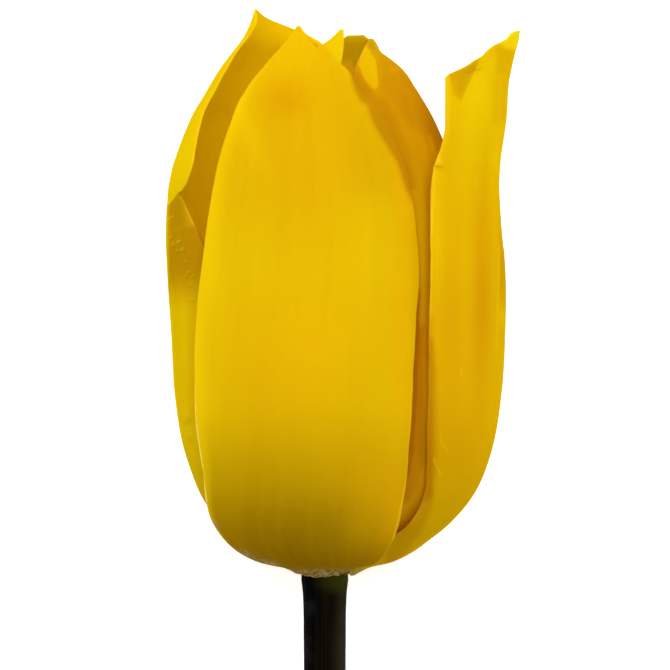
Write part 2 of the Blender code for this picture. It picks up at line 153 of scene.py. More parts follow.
INNER_RIGHT = (
    (2.1, 4.1, 2, 97, 0.0, 0.0, 0.0),
    (2.6, 5.9, 0, 98, 0.1, 0.0, 0.0),
    (3.6, 8.3, -3, 98, 0.2, 0.0, 0.0),
    (5.2, 10.7, -5, 97, 0.3, -0.1, 0.0),
    (8.0, 13.6, -6, 96, 0.4, -0.3, 0.0),
    (11.5, 16.0, -6, 95, 0.5, -0.5, 0.0),
    (17.0, 18.3, -6, 94, 0.8, -0.15, 0.0),
    (24.0, 19.6, -6, 93, 0.8, -0.15, 0.0),
    (32.0, 20.1, -6, 92, 0.8, -0.05, 0.1),
    (40.0, 20.2, -5, 90, 0.8, 0.1, 0.3),
    (47.8, 19.6, -4, 87, 0.8, 0.2, 1.4),
    (53.5, 18.3, -2, 83, 0.8, 0.2, 2.8),
    (57.5, 17.0, 0, 79, 0.8, 0.2, 3.4),
    (61.5, 15.1, 4, 74, 0.3, 0.0, 2.9),
    (65.4, 12.9, 9, 66, 0.2, 0.0, 2.15),
    (67.6, 11.3, 13, 61, 0.0, 0.0, 1.5),
    (69.0, 10.1, 18, 49, 0.0, 0.0, 0.8),
    (69.8, 9.4, 21.5, 40, 0.0, 0.0, 0.4),
    (70.7, 8.7, 27, 38.5, 0.0, 0.0, 0.1),
    (71.5, 7.9, 33, 37.5, 0.0, 0.0, 0.0),
)
INNER_LEFT = (
    (2.1, 4.1, -128, -6, 0.0, 0.2, 0.0),
    (2.6, 5.9, -124, -9, 0.0, 0.4, 0.0),
    (3.6, 8.3, -114, -12, 0.0, 0.6, 0.0),
    (5.2, 10.7, -103, -14, 0.1, 0.8, 0.0),
    (8.0, 13.6, -94, -15, 0.2, 0.9, 0.0),
    (11.5, 16.0, -87, -15, 0.3, 1.0, 0.0),
    (17.0, 18.3, -80, -15, 0.5, 1.0, 0.0),
    (24.0, 19.6, -74, -15, 0.65, 1.0, 0.0),
    (32.0, 20.1, -68, -15, 0.75, 1.0, 0.0),
    (40.0, 20.2, -61, -14, 0.75, 1.0, 0.0),
    (47.8, 19.6, -55, -13, 0.6, 0.9, 0.0),
    (54.2, 18.2, -51, -11, 0.3, 0.7, 0.0),
    (58.6, 16.6, -48, -8, 0.2, 0.4, 0.0),
    (62.5, 14.4, -44, -4, 0.1, 0.2, 0.0),
    (66.5, 11.7, -37, 1, 0.0, 0.0, 0.0),
    (69.5, 9.4, -22, 5, 0.0, 0.0, 0.0),
    (71.4, 7.9, -6, 7, 0.0, 0.0, 0.0),
    (72.7, 6.8, 3, 8, 0.0, 0.0, 0.0),
)
INNER_BACK = (
    (2.1, 4.1, 105, 222, 0.0, 0.0, 0.0),
    (2.6, 5.9, 107, 224, -0.1, 0.0, 0.0),
    (3.6, 8.3, 110, 227, -0.3, -0.2, -0.2),
    (5.2, 10.7, 114, 229, -0.4, -0.4, -0.4),
    (8.0, 13.6, 117, 230, -0.5, -0.5, -0.5),
    (11.5, 16.0, 120, 230, -0.5, -0.5, -0.6),
    (17.0, 18.3, 121, 230, -0.6, -0.6, -0.6),
    (24.0, 19.6, 122, 229, -0.5, -0.5, -0.5),
    (32.0, 20.1, 123, 228, -0.5, -0.5, -0.5),
    (40.0, 20.2, 124, 226, -0.5, -0.5, -0.5),
    (47.8, 19.7, 126, 223, -0.4, -0.4, -0.4),
    (54.6, 18.4, 129, 219, 0.0, -0.2, 0.0),
    (60.0, 16.6, 133, 214, 0.3, 0.0, 0.3),
    (64.0, 14.7, 138, 208, 0.4, 0.0, 0.4),
    (67.5, 12.5, 144, 200, 0.4, 0.0, 0.4),
    (70.2, 10.9, 147, 191, 0.2, 0.0, 0.2),
    (72.2, 9.7, 150, 180, 0.0, 0.0, 0.0),
    (73.2, 9.1, 156, 171, 0.0, 0.0, 0.0),
)
# Stem: distance below the cup's base, and radius
STEM_RADII = (
    (-3.6, 3.0), (-2.4, 3.2), (0.0, 3.16), (0.9, 3.24), (1.6, 3.16), (2.6, 3.04),
    (4.0, 2.97), (9.0, 2.88), (16.0, 2.85), (40.0, 2.95), (80.0, 3.2), (112.0, 3.4),
)
# Pistil: height above the cup's base, radius, bulge at its three corners
PISTIL = (
    (3.95, 1.5, 0.0), (4.3, 1.9, 0.05), (7.0, 2.25, 0.15), (12.0, 2.6, 0.3),
    (17.0, 2.5, 0.35), (20.5, 1.95, 0.25), (22.3, 1.65, 0.2), (23.2, 2.3, 0.8),
    (24.3, 2.6, 1.15), (25.3, 2.2, 1.0), (25.9, 1.1, 0.5),
)
# Stamen: height above the cup's base, distance from the axis, half width
# across and half width outwards
STAMEN = (
    (3.95, 3.2, 0.55, 0.4), (4.4, 3.25, 0.78, 0.5), (7.5, 4.1, 0.75, 0.5),
    (10.5, 4.9, 0.6, 0.45), (12.4, 5.25, 0.4, 0.38), (13.2, 5.35, 0.95, 0.85),
    (15.0, 5.45, 1.25, 1.05), (20.0, 5.6, 1.25, 1.05), (24.5, 5.6, 1.1, 0.95),
    (26.3, 5.55, 0.6, 0.55),
)
STAMEN_AZIMUTHS = (14.0, 74.0, 134.0, 194.0, 254.0, 314.0)


# The camera looks at this place of the flower's frame from REACH millimetres in
# front of it, and a pixel is PIXEL millimetres there.
AIM, REACH, PIXEL = (1.35, 32.0), 502.5, 0.135


def spot(px, py, depth):
    """The place in the flower's frame, in mm, that shows at a pixel, depth in front of its axis."""
    scale = PIXEL * (REACH - depth) / REACH
    return AIM[0] + (px - 335) * scale, AIM[1] - (py - 335) * scale


# ---- geometry ----
def smooth(value):
    value = np.clip(value, 0.0, 1.0)
    return value * value * (3.0 - 2.0 * value)


def ramp(value, start, end):
    return smooth((np.asarray(value, float) - start) / (end - start))


def bell(value, centre, width):
    return np.exp(-(((np.asarray(value, float) - centre) / width) ** 2))


def through(knots, values, at, even=False):
    """A smooth curve through values at knots, read at the places in at. An even one never swings past a station."""
    knots, values = np.asarray(knots, float), np.asarray(values, float)
    step = np.diff(knots)[:, None]
    slope = np.diff(values, axis=0) / step
    tangent = np.empty_like(values)
    tangent[0], tangent[-1] = slope[0], slope[-1]
    tangent[1:-1] = (slope[:-1] * step[1:] + slope[1:] * step[:-1]) / (
        step[1:] + step[:-1]
    )
    if even:
        least = np.minimum(np.abs(slope[:-1]), np.abs(slope[1:]))
        rising = np.sign(slope[:-1]) * (slope[:-1] * slope[1:] > 0)
        tangent[1:-1] = rising * np.minimum(np.abs(tangent[1:-1]), 2.5 * least)
    cell = np.clip(np.searchsorted(knots, at, side="right") - 1, 0, len(knots) - 2)
    h = step[cell]
    s = ((at - knots[cell])[:, None]) / h
    return (
        values[cell] * (1 + 2 * s) * (1 - s) ** 2
        + values[cell + 1] * s * s * (3 - 2 * s)
        + h * tangent[cell] * s * (1 - s) ** 2
        + h * tangent[cell + 1] * s * s * (s - 1)
    )


def drift(at, seed, pace):
    """A smooth, repeatable wander of about -1 to 1 along at; pace is how long one swing takes."""
    rng = np.random.default_rng(seed)
    total = np.zeros_like(np.asarray(at, float))
    for octave in range(4):
        phase, turn = rng.uniform(0, 2 * math.pi), rng.uniform(0.8, 1.25)
        total += np.sin(np.asarray(at) * 2 * math.pi * turn * 1.7**octave / pace + phase) / 1.6**octave
    return total / 2.2


LONGEST = 0.42  # cell along a petal, mm


def petal_wall(stations, seed, cells):
    """The middle of a petal's wall as a fine grid [along, across, xyz] in mm, with the place of every point: length from the base, share of the way to the margin, and distance to the nearest margin."""
    table = np.array(stations, float)
    run = np.hypot(np.diff(table[:, 0]), np.diff(table[:, 1]))
    knots = np.concatenate([[0.0], np.cumsum(run)])
    total = knots[-1]
    at = [0.0, 0.04, 0.12, 0.27, total - 0.27, total - 0.12, total - 0.04]
    for start, length in zip(knots, run):
        count = max(1, round(length / LONGEST))
        at += [start + length * (i + 1) / count for i in range(count)]
    at = np.unique(np.round(np.clip(at, 0.0, total), 4))
    row = through(knots, table, at)
    row[:, 2:] = through(knots, table[:, 2:], at, even=True)
    row[:, 2] += 0.10 * drift(at, seed, 15.0) * np.degrees(1 / 22.0)
    row[:, 3] += 0.10 * drift(at, seed + 1, 15.0) * np.degrees(1 / 22.0)
    ahead = through(knots, table[:, :2], np.clip(at + 0.01, 0, total))
    behind = through(knots, table[:, :2], np.clip(at - 0.01, 0, total))
    rise, out = (ahead - behind).T
    length = np.hypot(rise, out)
    inward = np.stack([rise / length, out / length], 1)
    u = np.linspace(-1.0, 1.0, cells + 1)
    u = np.unique(np.concatenate([u, *[(side * (1 - e),) for side in (-1, 1) for e in (0.0015, 0.005, 0.011)]]))
    u = u[None, :]
    height, radius, left, right, at_left, middle, at_right = row.T[:, :, None]
    weight = np.abs(u) ** 2.5
    depth = middle + np.where(u < 0, at_left - middle, at_right - middle) * weight
    angle = np.radians((left + right) / 2 + (right - left) / 2 * u)
    r = radius - depth * inward[:, :1]
    y = height + depth * inward[:, 1:]
    x = CUP_LEAN * smooth(height / CUP_LEAN_BY) + r * np.sin(angle)
    grid = np.stack([x, y, r * np.cos(angle)], -1)
    s = np.broadcast_to(at[:, None], grid.shape[:2])
    u = np.broadcast_to(u, grid.shape[:2])
    half = np.radians((right - left) / 2) * radius
    margin = np.minimum.reduce([(1 - np.abs(u)) * half, s, total - s])
    return grid, s / total, u, margin, total


def rest(points, layer=None):
    """Lays points of the flower's frame down, in metres. A wall with a layer isn't lower than that: it flattens."""
    points = np.asarray(points, float)
    tilt = math.radians(PITCH)
    x, y, z = points[..., 0], points[..., 1], points[..., 2]
    far = y * math.cos(tilt) - z * math.sin(tilt)
    up = y * math.sin(tilt) + z * math.cos(tilt) + LIFT
    if layer is not None:
        over = up - layer
        up = layer + (over + np.sqrt(over * over + SOFTNESS * SOFTNESS)) / 2
    return np.stack([x + SHIFT_X, far + SHIFT_Y, up], -1) / 1000.0


def outward(grid):
    """Unit normals of a grid, away from the axis."""
    along = np.gradient(grid, axis=0)
    across = np.gradient(grid, axis=1)
    normal = np.cross(across, along)
    return normal / np.maximum(np.linalg.norm(normal, axis=-1, keepdims=True), 1e-12)


def made_object(name, points, faces, shade, fields):
    mesh = bpy.data.meshes.new(name)
    mesh.from_pydata([tuple(p) for p in np.asarray(points, float)], [], faces)
    mesh.validate()
    for key, values in fields.items():
        made = mesh.attributes.new(key, "FLOAT", "POINT")
        made.data.foreach_set("value", np.ascontiguousarray(values, np.float32))
    mesh.shade_smooth()
    mesh.materials.append(shade)
    made = bpy.data.objects.new(name, mesh)
    bpy.context.scene.collection.objects.link(made)
    return made


def seen(grid):
    """Where points of the flower's frame lie in the picture of 670 by 670 pixels, taken from the front."""
    scale = REACH / (REACH - grid[..., 2]) / PIXEL
    return 335 + (grid[..., 0] - AIM[0]) * scale, 335 - (grid[..., 1] - AIM[1]) * scale


def grooves(grid, lines):
    """Height in mm at each point of folds seen from the front: each runs from (x, y) to (x, y) in pixels, with a width in pixels and a height at either end."""
    x, y = seen(grid)
    total = np.zeros(x.shape)
    for x0, y0, w0, d0, x1, y1, w1, d1 in lines:
        run = np.array([x1 - x0, y1 - y0])
        span = run @ run
        t = np.clip(((x - x0) * run[0] + (y - y0) * run[1]) / span, 0, 1)
        beyond = ((x - x0) * run[0] + (y - y0) * run[1]) / span
        gap = np.hypot(x - (x0 + t * run[0]), y - (y0 + t * run[1]))
        wide = w0 + (w1 - w0) * t
        deep = d0 + (d1 - d0) * t
        ends = ramp(beyond, -0.25, 0.1) * (1 - ramp(beyond, 0.9, 1.25))
        total += deep * np.exp(-((gap / wide) ** 2)) * ends
    return total


def creases(grid, lines):
    """Height in mm of bends seen from the front. On the right of the way from (x, y) to (x, y), in pixels, the wall drops by the given height at either end, then comes back over the given width."""
    x, y = seen(grid)
    total = np.zeros(x.shape)
    for x0, y0, drop0, back0, x1, y1, drop1, back1 in lines:
        run = np.array([x1 - x0, y1 - y0])
        span = np.hypot(*run)
        t = ((x - x0) * run[0] + (y - y0) * run[1]) / span**2
        side = (-(x - x0) * run[1] + (y - y0) * run[0]) / span
        held = np.clip(t, 0, 1)
        drop, back = drop0 + (drop1 - drop0) * held, back0 + (back1 - back0) * held
        ends = ramp(t, -0.12, 0.06) * (1 - ramp(t, 0.94, 1.12))
        total -= drop * ramp(side, -1.0, 3.5) * (1 - ramp(side, 3.0, 3.0 + back)) * ends
    return total


def patches(grid, spots):
    """Soft marks seen from the front: centre (x, y) and half widths in pixels, turn in degrees (clockwise) and strength."""
    x, y = seen(grid)
    total = np.zeros(x.shape)
    for x0, y0, wide, tall, turn, amount in spots:
        c, s = math.cos(math.radians(turn)), math.sin(math.radians(turn))
        a = ((x - x0) * c + (y - y0) * s) / wide
        b = (-(x - x0) * s + (y - y0) * c) / tall
        total += amount * np.exp(-(a * a + b * b))
    return total


def zones(grid, outlines):
    """Soft-edged areas seen from the front: corners in pixels, width of the edge in pixels and strength."""
    x, y = seen(grid)
    total = np.zeros(x.shape)
    for corners, soft, amount in outlines:
        within, gap = np.zeros(x.shape, bool), np.full(x.shape, 1e9)
        for (x0, y0), (x1, y1) in zip(corners, corners[1:] + corners[:1]):
            run = np.array([x1 - x0, y1 - y0], float)
            t = np.clip(((x - x0) * run[0] + (y - y0) * run[1]) / (run @ run), 0, 1)
            gap = np.minimum(gap, np.hypot(x - (x0 + t * run[0]), y - (y0 + t * run[1])))
            if y0 != y1:
                within ^= ((y0 > y) != (y1 > y)) & (x < x0 + run[0] * (y - y0) / run[1])
        total += amount * ramp(np.where(within, gap, -gap), -soft / 2, soft / 2)
    return total


def petal(name, stations, layer, seed, shade, cells=110, folds=(), flaps=(), bumps=(), warm_and_painted_shade=(), olive_and_painted_shade=(), pale=(), rim=(), dim=(), scab=(), lemon=(), amber_painted_light=(), painted_light_left=0.0):
    grid, v, u, margin, total = petal_wall(stations, seed, cells)
    # the lower edge dips in the middle and is a little ragged
    foot = 1 - ramp(v * total, 0.0, 3.0)
    grid = grid.copy()
    grid[..., 1] -= foot * (0.28 * bell(u, 0.05, 0.45) + 0.10 * drift(u * 10, seed + 8, 5.0))
    normal = outward(grid)
    front = ramp(normal[..., 2], -0.12, 0.12)
    back = 1 - front
    body = ramp(v, 0.03, 0.2) * (1 - ramp(v, 0.86, 0.99))
    wander = drift(v * 10, seed + 2, 9.0)
    relief = 0.014 * np.cos(2 * math.pi * (u * 4.3 + 0.12 * wander)) * body * (1 - 0.6 * v)
    relief += 0.004 * np.cos(2 * math.pi * (u * 11.0 + 0.2 * drift(v * 10, seed + 3, 5.0))) * body
    relief += -0.07 * bell(u, 0.0, 0.06) * body + 0.03 * bell(np.abs(u), 0.14, 0.07) * body
    relief += 0.10 * np.abs(u) ** 7 * drift(v * 90, seed + 4, 22.0) * body
    relief += (grooves(grid, folds) + creases(grid, flaps)) * front
    relief += patches(grid, bumps) * front
    grid = grid + normal * relief[..., None]
    middle = rest(grid, layer)
    normal = outward(middle)
    thick = 0.30 + 0.22 * (1 - np.abs(u) ** 3) * (1 - v**6)
    round_off = np.clip(margin / 0.28, 0.0, 1.0)
    half = thick / 2 * np.sqrt(np.clip(1 - (1 - round_off) ** 2, 0, 1)) / 1000.0
    outer = middle + normal * half[..., None]
    inner = middle - normal * half[..., None]
    rows, columns = grid.shape[:2]
    index = np.arange(rows * columns).reshape(rows, columns)
    within = np.zeros((rows, columns), bool)
    within[1:-1, 1:-1] = True
    far = index.copy()
    far[within] = rows * columns + np.arange(within.sum())
    points = np.concatenate([outer.reshape(-1, 3), inner[within]])

    def quads(corner, flip):
        q = np.stack([corner[:-1, :-1], corner[:-1, 1:], corner[1:, 1:], corner[1:, :-1]], -1).reshape(-1, 4)
        return q[:, ::-1] if flip else q

    faces = np.concatenate([quads(index, False), quads(far, True)]).tolist()

    def both(values):
        return np.concatenate([values.reshape(-1), values[within]])

    def marks(spots):
        found = patches(grid, spots)
        return np.concatenate([(found * front).reshape(-1), (found * back)[within]])

    side = np.concatenate([np.zeros(rows * columns), np.ones(within.sum())])
    fields = {
        "along": both(v),
        "across": both(u),
        "height": both(grid[..., 1] / 75.0),
        "margin": both(margin),
        "across_mm": both(grid[..., 0]),
        "height_mm": both(grid[..., 1]),
        "toward": np.concatenate([front.reshape(-1), back[within]]),
        "inside": side,
        # painted light and shade as well as colour: the orange and brownish-green marks and the darkening zones are
        # partly painted shade, the pale and orange-yellow marks and the strip along the left margin painted light, and
        # the line at the margins both a cream edge and a painted highlight
        "warm_and_painted_shade": marks(warm_and_painted_shade),
        "olive_and_painted_shade": marks(olive_and_painted_shade),
        "pale": marks(pale) + painted_light_left * both(ramp(-u, 0.72, 0.98) * body),
        "rim": 0.08 + marks(rim),
        "dim": np.concatenate([(zones(grid, dim) * front).reshape(-1), np.zeros(within.sum())]),
        "scab": marks(scab),
        "lemon": marks(lemon),
        "amber_painted_light": marks(amber_painted_light),
    }
    made = made_object(name + "_skin", points, faces, shade, fields)
    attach(made, "root")
    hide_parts(name)
    return made


# ---- materials ----
class Shade:
    """A node material under construction."""

    def __init__(self, name):
        self.material = bpy.data.materials.new(name)
        self.material.use_nodes = True
        self.tree = self.material.node_tree
        self.tree.nodes.clear()
        self.out = self.add("ShaderNodeOutputMaterial")

    def add(self, kind, inputs=None, **settings):
        made = self.tree.nodes.new(kind)
        for key, value in settings.items():
            setattr(made, key, value)
        for key, value in (inputs or {}).items():
            self.feed(made.inputs[key], value)
        return made

    def feed(self, socket, value):
        if isinstance(value, bpy.types.NodeSocket):
            self.tree.links.new(value, socket)
        elif isinstance(value, tuple) and len(value) == 3 and socket.type == "RGBA":
            socket.default_value = (*value, 1.0)
        else:
            socket.default_value = value

    def field(self, name):
        return self.add("ShaderNodeAttribute", attribute_name=name).outputs["Fac"]

    def calc(self, operation, a, b=0.0, c=None, clamp=False):
        made = self.add("ShaderNodeMath", operation=operation, use_clamp=clamp)
        self.feed(made.inputs[0], a)
        self.feed(made.inputs[1], b)
        if c is not None:
            self.feed(made.inputs[2], c)
        return made.outputs[0]

    def step(self, value, low, high, to_low=0.0, to_high=1.0, soft=True):
        made = self.add(
            "ShaderNodeMapRange",
            {"From Min": low, "From Max": high, "To Min": to_low, "To Max": to_high},
            interpolation_type="SMOOTHSTEP" if soft else "LINEAR",
        )
        self.feed(made.inputs["Value"], value)
        return made.outputs["Result"]

    def mix(self, factor, a, b, blend="MIX"):
        made = self.add("ShaderNodeMix", data_type="RGBA", blend_type=blend, clamp_factor=True)
        self.feed(made.inputs[0], factor)
        self.feed(made.inputs[6], a)
        self.feed(made.inputs[7], b)
        return made.outputs[2]

    def join(self, x, y, z=0.0):
        made = self.add("ShaderNodeCombineXYZ")
        for socket, value in zip(made.inputs, (x, y, z)):
            self.feed(socket, value)
        return made.outputs[0]

    def noise(self, where, scale, detail=3.0, roughness=0.55):
        made = self.add("ShaderNodeTexNoise", {"Scale": scale, "Detail": detail, "Roughness": roughness})
        self.feed(made.inputs["Vector"], where)
        return made.outputs[0]

    def place(self):
        return self.add("ShaderNodeTexCoord").outputs["Object"]

    def away(self, where, x0, y0, x1, y1):
        """Distance in mm from the line through two points of the flower's frame, positive on the left of the way from the first to the second."""
        length = math.hypot(x1 - x0, y1 - y0)
        nx, ny = (y0 - y1) / length, (x1 - x0) / length
        made = self.add("ShaderNodeVectorMath", operation="DOT_PRODUCT")
        self.feed(made.inputs[0], where)
        made.inputs[1].default_value = (nx, ny, -(nx * x0 + ny * y0))
        return made.outputs["Value"]

    def area(self, where, corners, soft, depth):
        """1 inside a convex outline, 0 outside. Corners run clockwise in the picture, in pixels; soft is how wide the edge after each corner is, in mm."""
        points = [spot(x, y, depth) for x, y in corners]
        nearest = None
        for k, (x0, y0) in enumerate(points):
            x1, y1 = points[(k + 1) % len(points)]
            inside = self.calc("MULTIPLY", self.away(where, x0, y0, x1, y1), -1.0 / soft[k % len(soft)])
            nearest = inside if nearest is None else self.calc("MINIMUM", nearest, inside)
        return self.step(nearest, -0.5, 0.5)

    def stroke(self, where, x0, y0, x1, y1, wide, depth):
        """1 on a short line between two places in the picture, in pixels; wide is its whole width."""
        (x0, y0), (x1, y1) = spot(x0, y0, depth), spot(x1, y1, depth)
        mx, my, dx, dy = (x0 + x1) / 2, (y0 + y1) / 2, (x1 - x0) / 2, (y1 - y0) / 2
        half = math.hypot(dx, dy)
        off = self.calc("ABSOLUTE", self.away(where, x0, y0, x1, y1))
        on = self.calc("ABSOLUTE", self.away(where, mx, my, mx - dy, my + dx))
        wide *= PIXEL / 2
        return self.calc(
            "MULTIPLY",
            self.step(off, wide * 1.5, wide * 0.5),
            self.step(on, half + wide, half - wide * 0.5),
        )


def petal_shade(name, seed, outside, inside, deep, glow, marks=(), base=1.0):
    """Petal: fine veins from the base to the tip, a darker greenish brown towards the base that is partly painted
    shade, cream and a painted highlight at the very margin, and marks of painted light and shade.
    """
    s = Shade(name)
    along, across, height = s.field("along"), s.field("across"), s.field("height")
    margin, inner = s.field("margin"), s.field("inside")
    fine = s.noise(s.join(s.calc("MULTIPLY", across, 52.0), s.calc("MULTIPLY", along, 3.0), seed), 1.0, 4.0, 0.6)
    broad = s.noise(s.join(s.calc("MULTIPLY", across, 8.0), s.calc("MULTIPLY", along, 1.6), seed + 9.0), 1.0, 2.0, 0.5)
    cells = s.noise(s.place(), 5200.0, 2.0, 0.6)
    cloud = s.noise(s.place(), 95.0, 2.0, 0.5)
    colour = s.mix(inner, outside, inside)
    colour = s.mix(s.calc("MULTIPLY", s.field("lemon"), 1.0, clamp=True), colour, (0.75, 0.62, 0.0015))
    colour = s.mix(s.step(broad, 0.40, 0.64, 0.0, 0.13), colour, deep)
    colour = s.mix(s.step(cloud, 0.42, 0.66, 0.0, 0.14), colour, (0.78, 0.50, 0.003))
    vein = s.step(fine, 0.46, 0.62)
    strength = s.step(height, 0.75, 0.05, 0.02, 0.07)
    colour = s.mix(s.calc("MULTIPLY", vein, strength), colour, deep)
    # from here on, the mixes paint light and shade as well as colour: the orange and brownish-green ones and the
    # darkening zones are partly painted shade, the pale and orange-yellow ones painted light; the darker brown towards
    # the base is painted shade over the base's own colour
    colour = s.mix(s.calc("MULTIPLY", s.field("warm_and_painted_shade"), 1.0, clamp=True), colour, (0.66, 0.29, 0.002))
    shadow = s.step(height, 0.32, 0.0)
    colour = s.mix(s.calc("MULTIPLY", shadow, s.step(broad, 0.3, 0.7, 0.86 * base, 0.94 * base)), colour, (0.25, 0.112, 0.0010))
    colour = s.mix(s.calc("MULTIPLY", s.field("olive_and_painted_shade"), 1.0, clamp=True), colour, (0.42, 0.29, 0.002))
    colour = s.mix(s.calc("MULTIPLY", s.field("pale"), 1.0, clamp=True), colour, (0.92, 0.71, 0.003))
    colour = s.mix(s.calc("MULTIPLY", s.field("amber_painted_light"), 1.0, clamp=True), colour, (0.90, 0.48, 0.002))
    colour = s.mix(s.calc("MULTIPLY", s.field("dim"), 1.0, clamp=True), colour, (0.70, 0.52, 1.0), "MULTIPLY")
    # crisp marks on one side: painted shade in creases and folds, painted highlights, scratches
    where = s.join(s.field("across_mm"), s.field("height_mm"), 1.0)
    toward = s.field("toward")
    sides = (s.calc("MULTIPLY", toward, s.calc("SUBTRACT", 1.0, inner)), s.calc("MULTIPLY", toward, inner))
    for kind, side, blend, shade, amount, *how in marks:
        mask = getattr(s, kind)(where, *how)
        mask = s.calc("MULTIPLY", s.calc("MULTIPLY", mask, sides[side]), amount)
        colour = s.mix(mask, colour, shade, blend)
    frayed = s.calc("ADD", margin, s.calc("MULTIPLY", s.calc("SUBTRACT", fine, 0.5), 0.35))
    # a cream line at the very margin, partly a painted highlight along the edges
    rim = s.calc("MULTIPLY", s.step(frayed, 0.46, 0.12), s.field("rim"), clamp=True)
    cream = s.mix(s.step(height, 0.22, 0.05), (0.98, 0.74, 0.05), (0.80, 0.55, 0.26))
    colour = s.mix(rim, colour, cream)
    blots = s.noise(s.place(), 900.0, 3.0, 0.6)
    foot = s.calc("ADD", height, s.calc("MULTIPLY", s.calc("SUBTRACT", blots, 0.5), 0.030))
    foot = s.calc("ADD", foot, s.calc("MULTIPLY", s.calc("SUBTRACT", fine, 0.5), 0.006))
    flecks = s.noise(s.place(), 2400.0, 3.0, 0.65)
    mottled = s.mix(s.step(flecks, 0.44, 0.56), (0.13, 0.085, 0.010), (0.54, 0.41, 0.15))
    worn = s.calc("ADD", s.field("scab"), s.step(foot, 0.014, 0.002, 0.0, 0.85), clamp=True)
    colour = s.mix(s.calc("MULTIPLY", worn, s.step(flecks, 0.34, 0.50, 0.5, 1.0)), colour, mottled)
    rough = s.step(cells, 0.3, 0.7, 0.48, 0.62)
    lines = s.calc("ADD", s.calc("MULTIPLY", fine, 0.75), s.calc("MULTIPLY", cells, 0.25))
    bump = s.add("ShaderNodeBump", {"Strength": 0.30, "Distance": 0.00010, "Height": lines})
    skin = s.add(
        "ShaderNodeBsdfPrincipled",
        {
            "Base Color": colour,
            "Roughness": rough,
            "Metallic": 0.06,
            "Specular IOR Level": 0.0,
            "Specular Tint": (1.0, 0.80, 0.05),
            "Sheen Weight": 0.10,
            "Sheen Roughness": 0.15,
            "Sheen Tint": (1.0, 0.84, 0.02),
            "Normal": bump.outputs[0],
        },
    )
    through_it = s.add("ShaderNodeBsdfTranslucent", {"Color": s.mix(0.5, colour, glow), "Normal": bump.outputs[0]})
    both = s.add("ShaderNodeMixShader", {0: 0.36, 1: skin.outputs[0], 2: through_it.outputs[0]})
    s.feed(s.out.inputs["Surface"], both.outputs[0])
    return s.material


def stem_shade():
    """Stem: very dark green with paler and browner streaks, painted lighter on one side as lit from there, a slight
    grey-blue waxy coat on the darker side that is partly a painted sheen, and a pale cut end.
    """
    s = Shade("stem_skin")
    along, around, end = s.field("along"), s.field("around"), s.field("cut")
    turn = s.calc("MULTIPLY", around, 2 * math.pi)
    ring = s.join(
        s.calc("MULTIPLY", s.calc("COSINE", turn), 3.2),
        s.calc("MULTIPLY", s.calc("SINE", turn), 3.2),
        s.calc("MULTIPLY", along, 2.6),
    )
    streak = s.noise(ring, 3.2, 4.0, 0.62)
    slow = s.noise(s.place(), 60.0, 3.0, 0.5)
    cells = s.noise(s.place(), 4200.0, 2.0, 0.6)
    # painted light: one side of the stem is painted lighter, as lit from there, the other nearly black
    side = s.calc("MULTIPLY_ADD", s.calc("COSINE", turn), -0.5, 0.5)
    side = s.calc("ADD", side, s.calc("MULTIPLY", s.calc("SUBTRACT", slow, 0.5), 0.5), clamp=True)
    colour = s.mix(s.step(side, 0.12, 0.55), (0.0004, 0.0003, 0.0009), (0.0032, 0.0018, 0.0004))
    colour = s.mix(s.step(side, 0.55, 0.98), colour, (0.020, 0.0165, 0.0085))
    bloom_and_painted_sheen = s.calc("MULTIPLY", s.step(s.noise(s.place(), 130.0, 2.0, 0.5), 0.50, 0.66), s.step(side, 0.35, 0.0, 0.0, 0.7))
    colour = s.mix(bloom_and_painted_sheen, colour, (0.013, 0.014, 0.016))
    colour = s.mix(s.step(streak, 0.44, 0.68, 0.0, 0.35), colour, (0.010, 0.0075, 0.003))
    top = s.step(s.calc("ADD", along, s.calc("MULTIPLY", s.calc("SUBTRACT", slow, 0.5), 0.03)), 0.058, 0.030)
    top = s.calc("MULTIPLY", top, s.step(side, 0.10, 0.75))
    colour = s.mix(top, colour, (0.036, 0.040, 0.0022))
    pith = s.mix(s.step(s.field("core"), 0.55, 0.8), (0.20, 0.24, 0.09), (0.055, 0.075, 0.022))
    colour = s.mix(end, colour, pith)
    rough = s.step(cells, 0.3, 0.7, 0.40, 0.58)
    bump = s.add(
        "ShaderNodeBump",
        {"Strength": 0.4, "Distance": 0.00015, "Height": s.calc("ADD", s.calc("MULTIPLY", streak, 0.7), s.calc("MULTIPLY", cells, 0.3))},
    )
    skin = s.add(
        "ShaderNodeBsdfPrincipled",
        {
            "Base Color": colour,
            "Roughness": rough,
            "Specular IOR Level": 0.008,
            "Normal": bump.outputs[0],
        },
    )
    s.feed(s.out.inputs["Surface"], skin.outputs[0])
    return s.material


def pistil_shade():
    s = Shade("pistil_skin")
    along = s.field("along")
    grain = s.noise(s.place(), 1500.0, 4.0, 0.6)
    cloud = s.noise(s.place(), 260.0, 3.0, 0.5)
    ovary = s.mix(s.step(cloud, 0.35, 0.65), (0.30, 0.40, 0.07), (0.46, 0.53, 0.13))
    colour = s.mix(s.step(along, 0.80, 0.87), ovary, s.mix(s.step(grain, 0.35, 0.65), (0.62, 0.55, 0.16), (0.82, 0.76, 0.34)))
    colour = s.mix(s.step(along, 0.12, 0.0), colour, (0.55, 0.52, 0.20))
    bump = s.add("ShaderNodeBump", {"Strength": 0.5, "Distance": 0.0001, "Height": grain})
    skin = s.add(
        "ShaderNodeBsdfPrincipled",
        {
            "Base Color": colour,
            "Roughness": s.step(grain, 0.3, 0.7, 0.38, 0.6),
            "Specular IOR Level": 0.35,
            "Sheen Weight": 0.08,
            "Normal": bump.outputs[0],
        },
    )
    s.feed(s.out.inputs["Surface"], skin.outputs[0])
    return s.material


